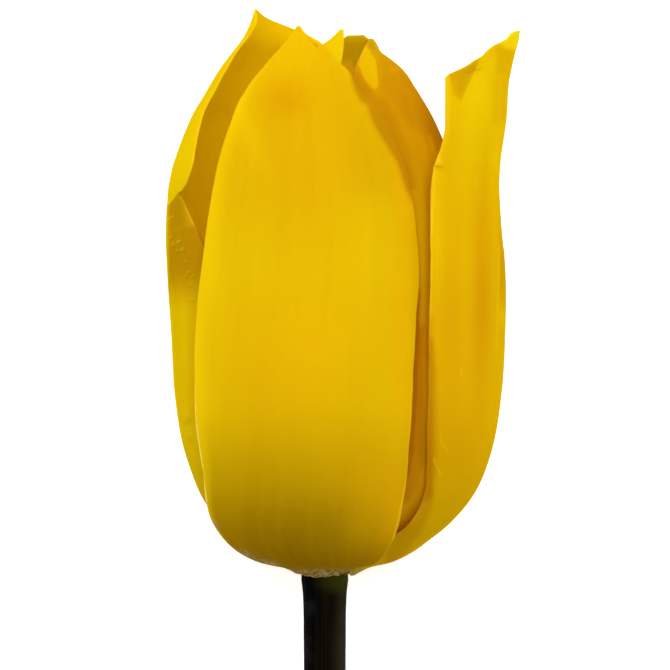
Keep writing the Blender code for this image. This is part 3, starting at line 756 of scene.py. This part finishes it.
def stamen_shade():
    s = Shade("stamen_skin")
    along = s.field("along")
    grains = s.add("ShaderNodeTexVoronoi", {"Scale": 5500.0})
    s.feed(grains.inputs["Vector"], s.place())
    dust = s.noise(s.place(), 1300.0, 4.0, 0.65)
    stalk = s.mix(s.step(along, 0.0, 0.3), (0.30, 0.30, 0.06), (0.72, 0.55, 0.06))
    pollen = s.mix(s.step(dust, 0.38, 0.64), (0.45, 0.27, 0.02), (0.78, 0.52, 0.05))
    colour = s.mix(s.step(along, 0.375, 0.40), stalk, pollen)
    height = s.calc("ADD", s.calc("MULTIPLY", grains.outputs[0], -1.0), dust)
    bump = s.add("ShaderNodeBump", {"Strength": 0.6, "Distance": 0.00008, "Height": height})
    skin = s.add(
        "ShaderNodeBsdfPrincipled",
        {
            "Base Color": colour,
            "Roughness": s.step(dust, 0.3, 0.7, 0.6, 0.85),
            "Specular IOR Level": 0.2,
            "Sheen Weight": 0.1,
            "Normal": bump.outputs[0],
        },
    )
    s.feed(s.out.inputs["Surface"], skin.outputs[0])
    return s.material


def floor_shade():
    s = Shade("floor")
    grain = s.noise(s.place(), 30.0, 3.0, 0.5)
    colour = s.mix(s.step(grain, 0.3, 0.7), (0.90, 0.90, 0.90), (0.92, 0.92, 0.92))
    skin = s.add(
        "ShaderNodeBsdfPrincipled",
        {
            "Base Color": colour,
            "Roughness": 0.9,
            "Specular IOR Level": 0.0,
            "Emission Color": (1.0, 1.0, 1.0),
            "Emission Strength": 0.56,
        },
    )
    s.feed(s.out.inputs["Surface"], skin.outputs[0])
    return s.material


# ---- petals ----
YELLOW, INSIDE = (0.76, 0.535, 0.0015), (0.84, 0.62, 0.0015)
ORANGE, GLOW = (0.70, 0.40, 0.0015), (0.98, 0.66, 0.002)
OUTER, INNER = 0, 1  # side of the wall
# the first colour below paints highlights and pale scratches; SHADED paints the inner right petal's outside in shade
HIGHLIGHT_AND_SCRATCH = (0.95, 0.75, 0.004)
LEMON, SHADED = (0.80, 0.62, 0.0015), (0.60, 0.335, 0.0015)

petal(
    "outer_petal_front", FRONT, LAYER_OUTER, 11,
    petal_shade(
        "front_petal_skin", 1.0, YELLOW, INSIDE, ORANGE, GLOW,
        marks=(
            # the little fold beside the tip: painted shade in the fold and a painted highlight beside it
            ("area", OUTER, "MULTIPLY", (0.80, 0.60, 1.0), 0.9, ((310, 41.5), (319, 47), (316.5, 49.5)), (0.15, 0.3, 0.3), 11.0),
            ("stroke", OUTER, "MIX", HIGHLIGHT_AND_SCRATCH, 0.4, 311.5, 39.5, 320, 44.0, 1.5, 11.0),
            # a painted highlight along the left margin
            ("stroke", OUTER, "MIX", (1.0, 0.90, 0.22), 0.75, 194.4, 376, 196.4, 421, 2.0, 9.8),
            ("stroke", OUTER, "MIX", (1.0, 0.93, 0.28), 0.90, 196.4, 419, 203.0, 468, 2.0, 8.3),
            ("stroke", OUTER, "MIX", (1.0, 0.86, 0.24), 0.80, 203.0, 466, 207.3, 502, 2.0, 5.6),
            # a thin painted highlight along the right edge
            ("area", OUTER, "MIX", (1.0, 0.64, 0.006), 0.45, ((416, 200), (422, 200), (420, 420), (411, 480), (409, 480), (413.5, 400)), (0.3,), 19.0),
            ("area", OUTER, "MIX", (1.0, 0.64, 0.006), 0.45, ((406, 478), (412, 478), (395, 545), (391, 545)), (0.3,), 17.0),
        ),
    ),
    cells=150,
    folds=(
        (312, 43, 1.6, -0.16, 319, 49, 1.4, -0.08),
        (240, 395, 5, 0.05, 244, 545, 6, 0.07),
        (284, 470, 5, 0.03, 288, 565, 6, 0.06),
        (262, 440, 6, -0.03, 268, 560, 7, -0.06),
        (330, 470, 9, -0.02, 326, 560, 9, -0.05),
    ),
    # the orange and brownish-green marks are partly painted shade, the pale and orange-yellow marks painted light, and
    # the margin marks a painted highlight along the lower left margin besides the cream base
    warm_and_painted_shade=(
        (300, 160, 70, 75, 0, 0.25), (286, 99, 24, 20, 0, 0.45),
        (285, 400, 75, 60, 0, 0.14), (385, 300, 16, 90, 0, 0.10), (300, 450, 90, 40, 0, 0.06),
    ),
    olive_and_painted_shade=((322, 540, 38, 26, 0, 0.15), (256, 543, 20, 18, 0, 0.15)),
    pale=(
        (245, 125, 12, 46, -24, 0.28), (362, 528, 20, 26, 30, 0.15), (394, 440, 16, 90, 0, 0.16), (398, 270, 16, 90, 0, 0.16),
        (216, 275, 14, 90, 0, 0.34), (208, 400, 12, 42, 0, 0.26), (196, 350, 7, 60, 0, 0.25),
        (300, 345, 85, 50, 0, 0.10), (255, 250, 30, 70, 0, 0.22), (368, 250, 20, 70, 0, 0.22),
    ),
    amber_painted_light=(
        (380, 500, 34, 50, 10, 0.45), (396, 520, 14, 40, 15, 0.35), (350, 465, 34, 36, 0, 0.16),
        (300, 350, 90, 70, 0, 0.28), (402, 340, 15, 120, 0, 0.42), (406, 200, 11, 55, -12, 0.45),
    ),
    rim=((200, 470, 20, 80, 0, 1.2), (260, 565, 40, 14, 20, 0.6)),
    # painted shade where the right shoulder turns in, beside the inner petals, and broadly over the upper part
    dim=(
        ([(347, 58), (355, 66), (362, 78), (370, 88), (378, 97), (371, 103), (361, 103), (354, 90), (350, 76)], 7, 1.05),
        ([(366, 94), (378, 98), (392, 116), (402, 138), (410, 170), (412, 200), (406, 190), (397, 162), (386, 144), (376, 128), (369, 112)], 10, 1.25),
        ([(205, 170), (250, 50), (298, 15), (340, 50), (410, 150), (410, 240), (205, 240)], 90, 0.14),
        ([(315, 45), (335, 55), (360, 100), (385, 150), (395, 200), (350, 190), (325, 110)], 40, 0.20),
    ),
    scab=((247, 552.5, 7, 3.2, 33, 1.0), (268, 560.5, 12, 3.2, 16, 1.0), (218, 524, 2.4, 5, -28, 0.7), (318, 572, 24, 4.5, 0, 0.8)),
    # a painted highlight along the left margin
    painted_light_left=0.45,
)
petal(
    "outer_petal_right", RIGHT, LAYER_OUTER, 23,
    petal_shade(
        "right_petal_skin", 2.0, (0.775, 0.505, 0.0015), INSIDE, ORANGE, GLOW, base=0.26,
        marks=(
            # the corner folds back along a crease: painted shade on the fold, a painted highlight along the left edge
            ("area", OUTER, "MULTIPLY", (0.84, 0.72, 1.0), 0.9, ((445, 77), (480, 58), (476, 67), (464.5, 92), (459.5, 103), (453, 96)), (0.2, 0.15, 0.15, 0.25, 0.9, 1.2), 13.0),
            ("area", OUTER, "MULTIPLY", (0.90, 0.90, 1.0), 0.9, ((458, 74), (479, 60), (475, 68), (464.5, 92), (459.5, 103), (456.5, 96)), (0.3, 0.15, 0.15, 0.25, 0.6, 0.8), 13.0),
            ("area", OUTER, "MIX", HIGHLIGHT_AND_SCRATCH, 0.30, ((444, 77), (449.5, 75), (449, 135), (442, 150)), (0.3, 0.5, 0.5, 0.3), 17.0),
            # a painted highlight and a greener patch on the tip, with painted shade in bands below it
            ("area", OUTER, "MIX", (0.90, 0.76, 0.006), 0.70, ((494, 44), (512, 28), (521, 28), (516, 48), (505, 50)), (0.3, 0.3, 0.3, 1.0, 1.0), 6.0),
            ("area", OUTER, "MIX", (0.74, 0.74, 0.014), 0.60, ((509, 32), (515, 27), (522, 27), (520, 39), (512, 40)), (0.5, 0.3, 0.3, 0.7, 0.7), 4.0),
            ("area", OUTER, "MULTIPLY", (0.85, 0.80, 1.0), 0.8, ((494, 50), (516, 48), (509, 74), (494, 76)), (0.9, 0.6, 1.0, 0.9), 7.0),
            ("area", OUTER, "MULTIPLY", (0.90, 0.82, 1.0), 0.7, ((490, 80), (510, 74), (505, 120), (490, 125)), (1.2, 0.5, 1.5, 0.9), 8.0),
            # the small nick in the left margin: painted shade in it, a painted highlight above it and along the edge
            # below
            ("stroke", OUTER, "MULTIPLY", (0.76, 0.66, 1.0), 0.8, 433, 166.6, 441.5, 167.4, 1.8, 16.0),
            ("area", OUTER, "MIX", (0.98, 0.74, 0.02), 0.5, ((434, 164), (439, 156), (441, 164)), (0.5,), 16.0),
            ("stroke", OUTER, "MIX", (1.0, 0.62, 0.012), 0.5, 434.3, 171, 430.8, 235, 2.6, 17.0),
            # scratches
            ("stroke", OUTER, "MIX", HIGHLIGHT_AND_SCRATCH, 0.26, 440.0, 440.0, 447.0, 451.5, 1.8, 14.0),
            ("stroke", OUTER, "MIX", HIGHLIGHT_AND_SCRATCH, 0.16, 439.8, 431.0, 440.4, 439.0, 2.2, 14.0),
            ("stroke", OUTER, "MIX", HIGHLIGHT_AND_SCRATCH, 0.32, 432.6, 457.5, 440.6, 476.0, 1.8, 14.0),
            ("stroke", OUTER, "MIX", HIGHLIGHT_AND_SCRATCH, 0.24, 460.0, 369.5, 460.0, 376.0, 2.6, 14.0),
            # a painted highlight along the long crease near the outline
            ("stroke", OUTER, "MIX", HIGHLIGHT_AND_SCRATCH, 0.25, 497.0, 246.0, 494.5, 348.0, 2.2, 6.0),
        ),
    ),
    cells=170,
    folds=(
        (483, 60, 7, 0.14, 472, 118, 5, 0.08),
        (448, 84, 4, 0.12, 447, 130, 4, 0.08),
        (497, 240, 2.4, -0.13, 494, 345, 2.4, -0.13),
        (500, 250, 2.2, 0.12, 498, 335, 2.2, 0.12),
        (484, 180, 7, -0.14, 482, 380, 8, -0.12),
        (433, 166, 1.8, -0.20, 446, 173, 2.0, -0.04),
        (440, 180, 5, 0.06, 436, 310, 5, 0.05),
    ),
    flaps=((482, 55, 0.45, 22, 459.5, 103, 0.10, 6),),
    # the orange and brownish-green marks are partly painted shade in the valleys, the pale and orange-yellow marks
    # painted light, and the margin marks take the painted highlight off the left margin
    warm_and_painted_shade=(
        (456, 260, 12, 110, 0, 0.18), (481, 285, 9, 110, 0, 0.60), (501, 258, 4.5, 40, 0, 0.55),
        (455, 340, 22, 60, 0, 0.30), (452, 445, 30, 50, 0, 0.34),
    ),
    pale=((480, 84, 8, 26, 14, 0.20), (470, 130, 18, 40, 0, 0.15), (437, 240, 4, 80, 0, 0.20), (495, 160, 4, 10, 0, 0.30), (463, 310, 7, 90, 0, 0.20), (500, 317, 2.6, 11, 0, 0.45)),
    olive_and_painted_shade=((502, 285, 4.5, 55, 0, 0.24), (501, 262, 4, 24, 0, 0.14)),
    amber_painted_light=((455, 350, 20, 50, 0, 0.20),),
    lemon=((478, 95, 34, 60, 0, 0.85), (470, 165, 26, 40, 0, 0.35), (436, 200, 5, 60, 0, 0.3)),
    rim=((424, 470, 8, 90, 0, -0.08), (410, 530, 14, 10, 0, -0.08)),
    # painted shade where its left margin turns in under the front petal
    dim=(
        ([(424, 335), (433, 340), (435.5, 370), (436, 420), (435, 470), (432, 496), (424, 500)], 9, 0.65),
        ([(420, 300), (431.5, 318), (431, 400), (431, 470), (432, 505), (424, 525), (410, 545), (392, 566), (380, 566), (400, 530), (418, 495), (422, 440)], 7, 0.50),
    ),
)
BLISTERS = (
    (171.5, 237, 0.15), (180.4, 241.6, 0.34), (174.2, 244.3, 0.22), (184.2, 249.6, 0.24), (178.5, 250.5, 0.12),
    (190.7, 272, 0.18), (187.8, 275.5, 0.12), (195.2, 276, 0.12), (192.7, 284.6, 0.18), (193.8, 299.4, 0.16), (187, 262, 0.10),
)
petal(
    "outer_petal_left", LEFT, LAYER_OUTER, 37,
    petal_shade(
        # its inside colour is painted lighter, as lit through the opening
        "left_petal_skin", 3.0, (0.76, 0.565, 0.0015), (0.88, 0.665, 0.0015), ORANGE, (0.98, 0.70, 0.002), base=0.6,
        marks=(
            # the lobe under the notch folds back: painted shade over it, painted highlights along its margin and across
            # it, and strokes of painted shade at the notch and lower down
            ("area", OUTER, "MULTIPLY", (0.58, 0.44, 1.0), 0.95, ((181, 193), (215, 193), (215, 292), (169, 292), (169, 205.75)), (0.3, 1.0, 7.0, 0.9, 0.15), 5.0),
            ("area", OUTER, "MULTIPLY", (0.90, 0.84, 1.0), 0.8, ((190, 290), (206, 290), (203, 420), (192, 420)), (6.0, 0.4, 7.0, 1.4), 6.0),
            ("area", OUTER, "MIX", (0.86, 0.54, 0.01), 0.42, ((186.5, 203), (191, 208), (194.5, 216), (198.5, 226), (188.5, 226)), (0.2, 0.2, 0.2, 1.2, 1.6), 8.0),
            ("stroke", OUTER, "MIX", HIGHLIGHT_AND_SCRATCH, 0.24, 168.0, 220.0, 176.5, 216.2, 1.6, 2.0),
            ("stroke", OUTER, "MIX", HIGHLIGHT_AND_SCRATCH, 0.12, 175.5, 230.6, 184.0, 227.6, 1.8, 4.0),
            ("stroke", OUTER, "MULTIPLY", (0.62, 0.50, 1.0), 0.9, 180.5, 192.0, 187.5, 205.5, 3.0, 9.0),
            ("stroke", OUTER, "MULTIPLY", (0.62, 0.50, 1.0), 0.45, 197.5, 226.0, 204.5, 244.0, 3.0, 12.0),
            # small blisters, with painted highlights and painted shade as lit from the left and above
            *(
                ("stroke", OUTER, "MIX", HIGHLIGHT_AND_SCRATCH, lit, x - 1.5, y + 0.9, x + 1.5, y - 0.9, 2.4, 5.0)
                for x, y, lit in BLISTERS
            ),
            *(
                ("stroke", OUTER, "MULTIPLY", (0.80, 0.74, 1.0), 0.7, x - 0.2, y + 3.0, x + 2.6, y + 1.3, 2.0, 5.0)
                for x, y, lit in BLISTERS
            ),
        ),
    ),
    cells=170,
    folds=((189, 206, 4, 0.12, 195, 222, 4, 0.08),),
    flaps=((181, 193, 0.22, 10, 166, 209, 0.12, 8),),
    bumps=(
        (176, 236, 2.6, 2.2, 0, 0.09), (181, 241, 2.2, 2.2, 0, 0.10), (174, 244.5, 2.4, 2.0, 0, 0.09), (185, 233, 2.0, 2.4, 0, 0.06),
        (179, 251, 2.6, 2.4, 0, 0.08), (184.5, 249.5, 2.2, 2.0, 0, 0.10), (190, 256, 2.6, 2.2, 0, 0.06), (183, 260, 2.2, 2.4, 0, 0.08),
        (192, 243, 2.0, 2.2, 0, 0.05), (194, 266, 2.4, 2.2, 0, 0.06), (187.8, 275, 2.2, 2.2, 0, 0.07), (190.8, 272, 2.0, 2.0, 0, 0.08),
        (176, 262, 2.2, 2.2, 0, 0.05), (192.8, 284.6, 2.0, 2.0, 0, 0.08), (195, 276, 2.0, 2.2, 0, 0.06), (194, 299.4, 2.0, 2.0, 0, 0.07),
    ),
    # the brownish-green marks are partly painted shade, the pale and orange-yellow marks painted light, and the margin
    # marks a painted highlight on the left outline that is taken off the lobe's margin
    olive_and_painted_shade=((190, 421, 5, 3, -30, 0.5), (192, 440, 4, 3, -30, 0.35), (180, 325, 10, 30, 0, 0.13), (184, 385, 8, 38, -6, 0.15)),
    pale=((272, 28, 16, 5, 24, 0.30),),
    rim=((170, 120, 30, 60, 0, 0.15), (185, 198, 8, 12, -25, -0.09), (202, 238, 8, 16, -20, -0.09)),
    # painted shade on the margin of the lobe, so that its lit edge doesn't stand out from the inside behind it
    dim=(
        ([(182, 192), (188, 194), (193, 204), (189, 208), (184, 200)], 3, 1.0),
        ([(187, 206), (193, 203), (202, 222), (196, 226)], 3, 0.45),
        ([(195, 224), (202, 220), (214, 244), (207, 252)], 3, 1.0),
    ),
    lemon=((182, 130, 20, 60, 0, 0.35),),
    amber_painted_light=((196, 240, 7, 22, 0, 0.28),),
)
petal(
    "inner_petal_right", INNER_RIGHT, LAYER_INNER, 41,
    petal_shade(
        # its outside is painted in shade all over
        "inner_right_skin", 4.0, SHADED, INSIDE, (0.56, 0.29, 0.0015), GLOW, base=0.0,
        marks=(
            # one flat facet at the tip catches the light: a painted highlight on it
            ("area", OUTER, "MIX", (0.72, 0.47, 0.0015), 0.95, ((365.5, 44), (375.5, 61), (378, 88), (375, 91.5), (370, 89.5), (363, 78), (358.3, 66), (361.8, 52)), (0.15, 0.15, 0.3, 0.2, 0.2, 0.2, 0.3, 0.3), 10.0),
            ("area", OUTER, "MIX", (0.40, 0.29, 0.004), 0.60, ((365, 36), (371, 36), (375, 52), (370, 50)), (0.3, 0.4, 0.4, 0.2), 8.0),
            ("area", OUTER, "MIX", (0.55, 0.42, 0.01), 0.40, ((371, 36), (376, 37), (379, 54), (375, 52)), (0.3, 0.4, 0.4, 0.4), 8.0),
            ("stroke", OUTER, "MIX", (0.88, 0.36, 0.003), 0.30, 391.5, 72.5, 396.5, 69.5, 4.5, 9.0),
            ("stroke", OUTER, "MIX", (0.92, 0.48, 0.004), 0.35, 427.5, 138.0, 432.5, 158.0, 3.4, 6.0),
            ("stroke", OUTER, "MIX", (0.80, 0.28, 0.002), 0.40, 425.5, 336.0, 424.5, 358.0, 4.0, 12.0),
        ),
    ),
    cells=120,
    folds=(
        (386, 60, 5, -0.10, 394, 120, 6, -0.06),
    ),
    flaps=((366, 43, 0.20, 9, 379, 88, 0.10, 7), (372, 91, 0.16, 9, 357, 66, 0.10, 6)),
    # the orange marks and the darkening zones are painted shade beside the front petal's edge and in the strip between
    # the outer petals; the pale and orange-yellow marks are painted light against the shadow of the right petal's
    # margin
    warm_and_painted_shade=((414, 400, 10, 110, 3, 0.90), (398, 100, 24, 34, -30, 0.28)),
    pale=((424, 250, 9, 60, 0, 0.22),),
    amber_painted_light=(
        (426.5, 395, 3, 80, 0, 0.60), (424, 478, 3.5, 14, 8, 0.60), (421, 494, 4, 9, 25, 0.80),
        (416, 506, 5, 9, 40, 0.95), (410, 516, 5, 9, 45, 1.05), (402, 524, 8, 10, 45, 1.3),
    ),
    dim=(
        ([(378, 48), (425, 95), (445, 140), (440, 150), (404, 120), (380, 90)], 16, 0.35),
        ([(350, 58), (357, 68), (364, 82), (372, 92), (366, 102), (350, 86)], 4, 0.15),
        ([(345, 60), (357, 68), (364, 82), (372, 92), (384, 100), (396, 118), (408, 150), (416, 190), (400, 190), (360, 110), (345, 85)], 7, 0.40),
        ([(410, 290), (419.5, 290), (418, 340), (415, 400), (412, 450), (408, 475), (402, 475), (408, 400)], 3, 1.0),
        ([(408, 325), (423, 325), (422, 460), (417, 484), (408, 500), (402, 500), (400, 470)], 8, 0.62),
    ),
)
petal(
    "inner_petal_left", INNER_LEFT, LAYER_INNER, 53,
    petal_shade(
        "inner_left_skin", 5.0, YELLOW, INSIDE, ORANGE, GLOW, base=0.6,
        marks=(
            # a painted highlight on the facet beside the tip
            ("area", OUTER, "MIX", (0.74, 0.60, 0.0015), 0.60, ((320, 46), (341, 25), (343.4, 29), (343.4, 70), (335, 66)), (0.3, 0.3, 0.3, 0.4, 0.3), 7.0),
        ),
    ),
    cells=100,
)
petal(
    "inner_petal_back", INNER_BACK, LAYER_INNER, 67,
    petal_shade(
        # its inside is painted darker, as in shade; below, more painted shade over the part that shows, and a lighter
        # patch of painted light on its left
        "inner_back_skin", 6.0, YELLOW, (0.585, 0.47, 0.0015), ORANGE, (0.76, 0.53, 0.002), base=0.6,
        marks=(
            ("area", INNER, "MULTIPLY", (0.90, 0.78, 1.0), 0.9, ((340, 41), (372, 41), (372, 75), (340, 75)), (0.6, 0.4, 2.0, 0.4), -8.0),
            ("area", INNER, "MIX", (0.84, 0.57, 0.0015), 0.6, ((340, 58), (351, 58), (356, 72), (352, 90), (340, 90)), (1.4, 0.8, 0.7, 0.4, 0.4), -8.0),
        ),
    ),
    cells=100,
)


# ---- stem ----
def stem_centre(down):
    """Centre of the stem in metres, laid down, by its length below the cup's base."""
    down = np.asarray(down, float)
    tilt = math.radians(PITCH)
    start = np.array([-STEM_STRAIGHT * math.cos(tilt), LIFT - STEM_STRAIGHT * math.sin(tilt)])
    reach = STEM_LENGTH - STEM_STRAIGHT
    end = np.array([-STEM_LENGTH * math.cos(tilt) + 0.2, STEM_RADII[-1][1]])
    s = np.clip((down - STEM_STRAIGHT) / reach, 0.0, 1.0)[:, None]
    leave = np.array([-math.cos(tilt), -math.sin(tilt)]) * reach
    arrive = np.array([-1.0, 0.0]) * reach
    bent = (
        start * (1 + 2 * s) * (1 - s) ** 2
        + end * s * s * (3 - 2 * s)
        + leave * s * (1 - s) ** 2
        + arrive * s * s * (s - 1)
    )
    near = np.stack([-down * math.cos(tilt), LIFT - down * math.sin(tilt)], 1)
    run = np.where(down[:, None] < STEM_STRAIGHT, near, bent)
    side = STEM_SIDE * s[:, 0] ** 2 * (1.5 - 0.5 * s[:, 0])
    return np.stack([side + SHIFT_X, run[:, 0] + SHIFT_Y, run[:, 1]], 1) / 1000.0


def stem():
    knots, radii = np.array(STEM_RADII).T
    down = np.concatenate([
        [-STEM_TOP, -STEM_TOP + 0.08, -STEM_TOP + 0.25],
        np.linspace(-STEM_TOP + 0.6, STEM_LENGTH - 0.5, 230),
        [STEM_LENGTH - 0.25, STEM_LENGTH - 0.08, STEM_LENGTH],
    ])
    centre = stem_centre(down)
    ahead = np.gradient(centre, axis=0)
    ahead /= np.linalg.norm(ahead, axis=1, keepdims=True)
    side = np.cross(ahead, [0.0, 0.0, 1.0])
    side /= np.linalg.norm(side, axis=1, keepdims=True)
    up = np.cross(side, ahead)
    radius = through(knots, radii[:, None], down)[:, 0]
    turns = np.linspace(0, 2 * math.pi, 72, endpoint=False)
    wave = np.zeros((len(down), len(turns)))
    rng = np.random.default_rng(5)
    for count in (3, 5, 8, 13, 21):
        phase = rng.uniform(0, 2 * math.pi) + 0.5 * drift(down, 100 + count, 60.0)
        wave += 0.05 / (1 + 0.10 * count) * np.cos(count * turns[None, :] + phase[:, None])
    wave += 0.03 * drift(down, 77, 26.0)[:, None]
    r = radius[:, None] + (wave - 0.03)
    r[0] -= 0.45
    r[1] -= 0.18
    r[-1] -= 0.28
    r[-2] -= 0.10
    ring = (
        centre[:, None, :]
        + side[:, None, :] * (r * np.cos(turns))[..., None] / 1000.0
        + up[:, None, :] * (r * np.sin(turns))[..., None] / 1000.0
    )
    rows, columns = r.shape
    points = [*ring.reshape(-1, 3)]
    along = [*np.repeat((down + STEM_TOP) / (STEM_LENGTH + STEM_TOP), columns)]
    around = [*np.tile(turns / (2 * math.pi), rows)]
    cut = [0.0] * len(points)
    core = [1.0] * len(points)
    faces = []
    for j in range(rows - 1):
        for i in range(columns):
            k = (i + 1) % columns
            faces.append((j * columns + i, (j + 1) * columns + i, (j + 1) * columns + k, j * columns + k))
    # both ends: rings towards the centre, the cut one slightly hollow
    for j, way, deep in ((0, -1.0, 0.0), (rows - 1, 1.0, 0.35)):
        last = [j * columns + i for i in range(columns)]
        for share in (0.92, 0.8, 0.66, 0.5, 0.34, 0.18):
            first = len(points)
            sink = deep * (1 - share**2) + 0.05 * math.sin(share * 21)
            for i in range(columns):
                towards = centre[j] + (ring[j, i] - centre[j]) * share
                points.append(towards - ahead[j] * way * sink / 1000.0)
                along.append(along[j * columns])
                around.append(turns[i] / (2 * math.pi))
                cut.append(1.0 if j else 0.0)
                core.append(share)
            new = [first + i for i in range(columns)]
            for i in range(columns):
                k = (i + 1) % columns
                face = (last[i], last[k], new[k], new[i])
                faces.append(face if j == 0 else face[::-1])
            last = new
        faces.append(tuple(last) if j == 0 else tuple(last[::-1]))
    fields = {"along": along, "around": around, "cut": cut, "core": core}
    made = made_object("stem_skin", points, faces, stem_shade(), fields)
    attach(made, "root")
    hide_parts("stem")
    return made


stem()


# ---- pistil and stamens ----
def tube(rings, flip=False):
    """Points and faces of a closed body through rings of equal length."""
    rows, columns = len(rings), len(rings[0])
    points = [p for ring in rings for p in ring]
    faces = []
    for j in range(rows - 1):
        for i in range(columns):
            k = (i + 1) % columns
            faces.append((j * columns + i, j * columns + k, (j + 1) * columns + k, (j + 1) * columns + i))
    points.append(np.mean(rings[0], axis=0))
    points.append(np.mean(rings[-1], axis=0))
    low, high = len(points) - 2, len(points) - 1
    for i in range(columns):
        k = (i + 1) % columns
        faces.append((low, k, i))
        faces.append((high, (rows - 1) * columns + i, (rows - 1) * columns + k))
    return points, [face[::-1] for face in faces] if flip else faces


def pistil():
    table = np.array(PISTIL)
    height = np.concatenate([np.linspace(3.95, 22.3, 70), np.linspace(22.45, 25.9, 30)])
    row = through(table[:, 0], table[:, 1:], height, even=True)
    turns = np.linspace(0, 2 * math.pi, 96, endpoint=False)
    rings = []
    for y, (radius, bulge) in zip(height, row):
        r = radius + bulge * np.cos(3 * turns)
        crest = ramp(y, 22.6, 23.4)
        groove = -0.16 * (1 - crest) * np.exp(-(((np.mod(3 * turns + math.pi, 2 * math.pi) - math.pi) / 0.35) ** 2))
        frill = 0.12 * crest * np.cos(18 * turns + 1.5 * math.sin(y * 3.0))
        r = np.minimum(r + groove + frill, r)
        ring = np.stack([r * np.sin(turns), np.full(len(turns), y), r * np.cos(turns)], 1)
        rings.append(rest(ring))
    points, faces = tube(rings)
    along = np.concatenate([np.repeat((height - 3.95) / 21.95, len(turns)), [0.0, 1.0]])
    made = made_object("pistil_skin", points, faces, pistil_shade(), {"along": along})
    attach(made, "root")
    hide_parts("pistil")


def stamen(number, azimuth, shade):
    table = np.array(STAMEN)
    height = np.concatenate([np.linspace(3.95, 12.4, 26), np.linspace(12.5, 13.4, 8), np.linspace(13.6, 26.3, 44)])
    row = through(table[:, 0], table[:, 1:], height, even=True)
    turn = math.radians(azimuth)
    out = np.array([math.sin(turn), 0.0, math.cos(turn)])
    across = np.array([math.cos(turn), 0.0, -math.sin(turn)])
    around = np.linspace(0.0, 2 * math.pi, 32, endpoint=False)[:, None]
    rng = np.random.default_rng(300 + number)
    rings = []
    for y, (reach, wide, deep) in zip(height, row):
        anther = ramp(y, 12.7, 13.6)
        # two pollen sacs on each side, with a groove between them
        sacs = 1 - anther * 0.16 * (0.5 + 0.5 * np.cos(4 * around))
        grit = 1 - anther * 0.05 * rng.random(len(around))[:, None]
        centre = out * reach + np.array([0.0, y, 0.0])
        ring = centre + across * wide * sacs * grit * np.cos(around) + out * deep * sacs * grit * np.sin(around)
        rings.append(rest(ring))
    points, faces = tube(rings)
    along = np.concatenate([np.repeat((height - 3.95) / 22.35, len(around)), [0.0, 1.0]])
    made = made_object(f"stamen_{number}_skin", points, faces, shade, {"along": along})
    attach(made, "root")
    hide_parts(f"stamen_{number}")


pistil()
pollen = stamen_shade()
for number, azimuth in enumerate(STAMEN_AZIMUTHS, 1):
    stamen(number, azimuth, pollen)


# ---- floor, light and camera ----
def direction(x, y, z):
    """A direction of the flower's frame, in the world."""
    tilt = math.radians(PITCH)
    return Vector((x, y * math.cos(tilt) - z * math.sin(tilt), y * math.sin(tilt) + z * math.cos(tilt)))


def world_point(x, y, z):
    return Vector(rest(np.array([x, y, z])))


half = 3.0
floor_mesh = bpy.data.meshes.new("floor")
floor_mesh.from_pydata([(-half, -half, 0), (half, -half, 0), (half, half, 0), (-half, half, 0)], [], [(0, 1, 2, 3)])
floor_mesh.materials.append(floor_shade())
floor = bpy.data.objects.new("floor", floor_mesh)
bpy.context.scene.collection.objects.link(floor)


def lamp(name, way, distance, size, power, colour=(1.0, 1.0, 1.0)):
    """A square soft light that shines on the middle of the cup from a direction of the flower's frame."""
    data = bpy.data.lights.new(name, "AREA")
    data.shape = "SQUARE"
    data.size = size
    data.energy = power
    data.color = colour
    made = bpy.data.objects.new(name, data)
    towards = direction(*way).normalized()
    target = world_point(*AIM, 0.0)
    made.location = target + towards * distance
    made.rotation_mode = "QUATERNION"
    made.rotation_quaternion = (-towards).to_track_quat("-Z", "Y")
    bpy.context.scene.collection.objects.link(made)
    return made


lamp("key_light", (0.04, 0.40, 0.90), 1.1, 1.0, 14.0, (1.0, 0.99, 0.97))
lamp("right_light", (0.86, 0.35, 0.38), 1.2, 0.8, 1.9)
lamp("left_light", (-0.86, 0.40, 0.32), 1.2, 0.8, 3.2)
lamp("top_light", (0.10, 0.96, 0.20), 1.1, 0.7, 0.8)

world = bpy.data.worlds.new("studio")
world.use_nodes = True
world.node_tree.nodes["Background"].inputs["Color"].default_value = (1.0, 1.0, 1.0, 1.0)
world.node_tree.nodes["Background"].inputs["Strength"].default_value = 0.40
bpy.context.scene.world = world

camera_data = bpy.data.cameras.new("camera")
camera_data.sensor_width = 36.0
camera_data.lens = 36.0 * REACH / (670 * PIXEL)
camera_data.clip_start, camera_data.clip_end = 0.02, 20.0
camera = bpy.data.objects.new("camera", camera_data)
toward_viewer, upward = direction(0, 0, 1), direction(0, 1, 0)
sideways = upward.cross(toward_viewer)
turned = Matrix((sideways, upward, toward_viewer)).transposed()
camera.rotation_mode = "QUATERNION"
camera.rotation_quaternion = turned.to_quaternion()
camera.location = world_point(*AIM, 0.0) + toward_viewer * REACH / 1000
bpy.context.scene.collection.objects.link(camera)
bpy.context.scene.camera = camera

bpy.context.scene.view_settings.view_transform = "Standard"
bpy.context.scene.view_settings.look = "None"
bpy.context.scene.view_settings.exposure = 0.0
bpy.context.scene.view_settings.gamma = 1.0
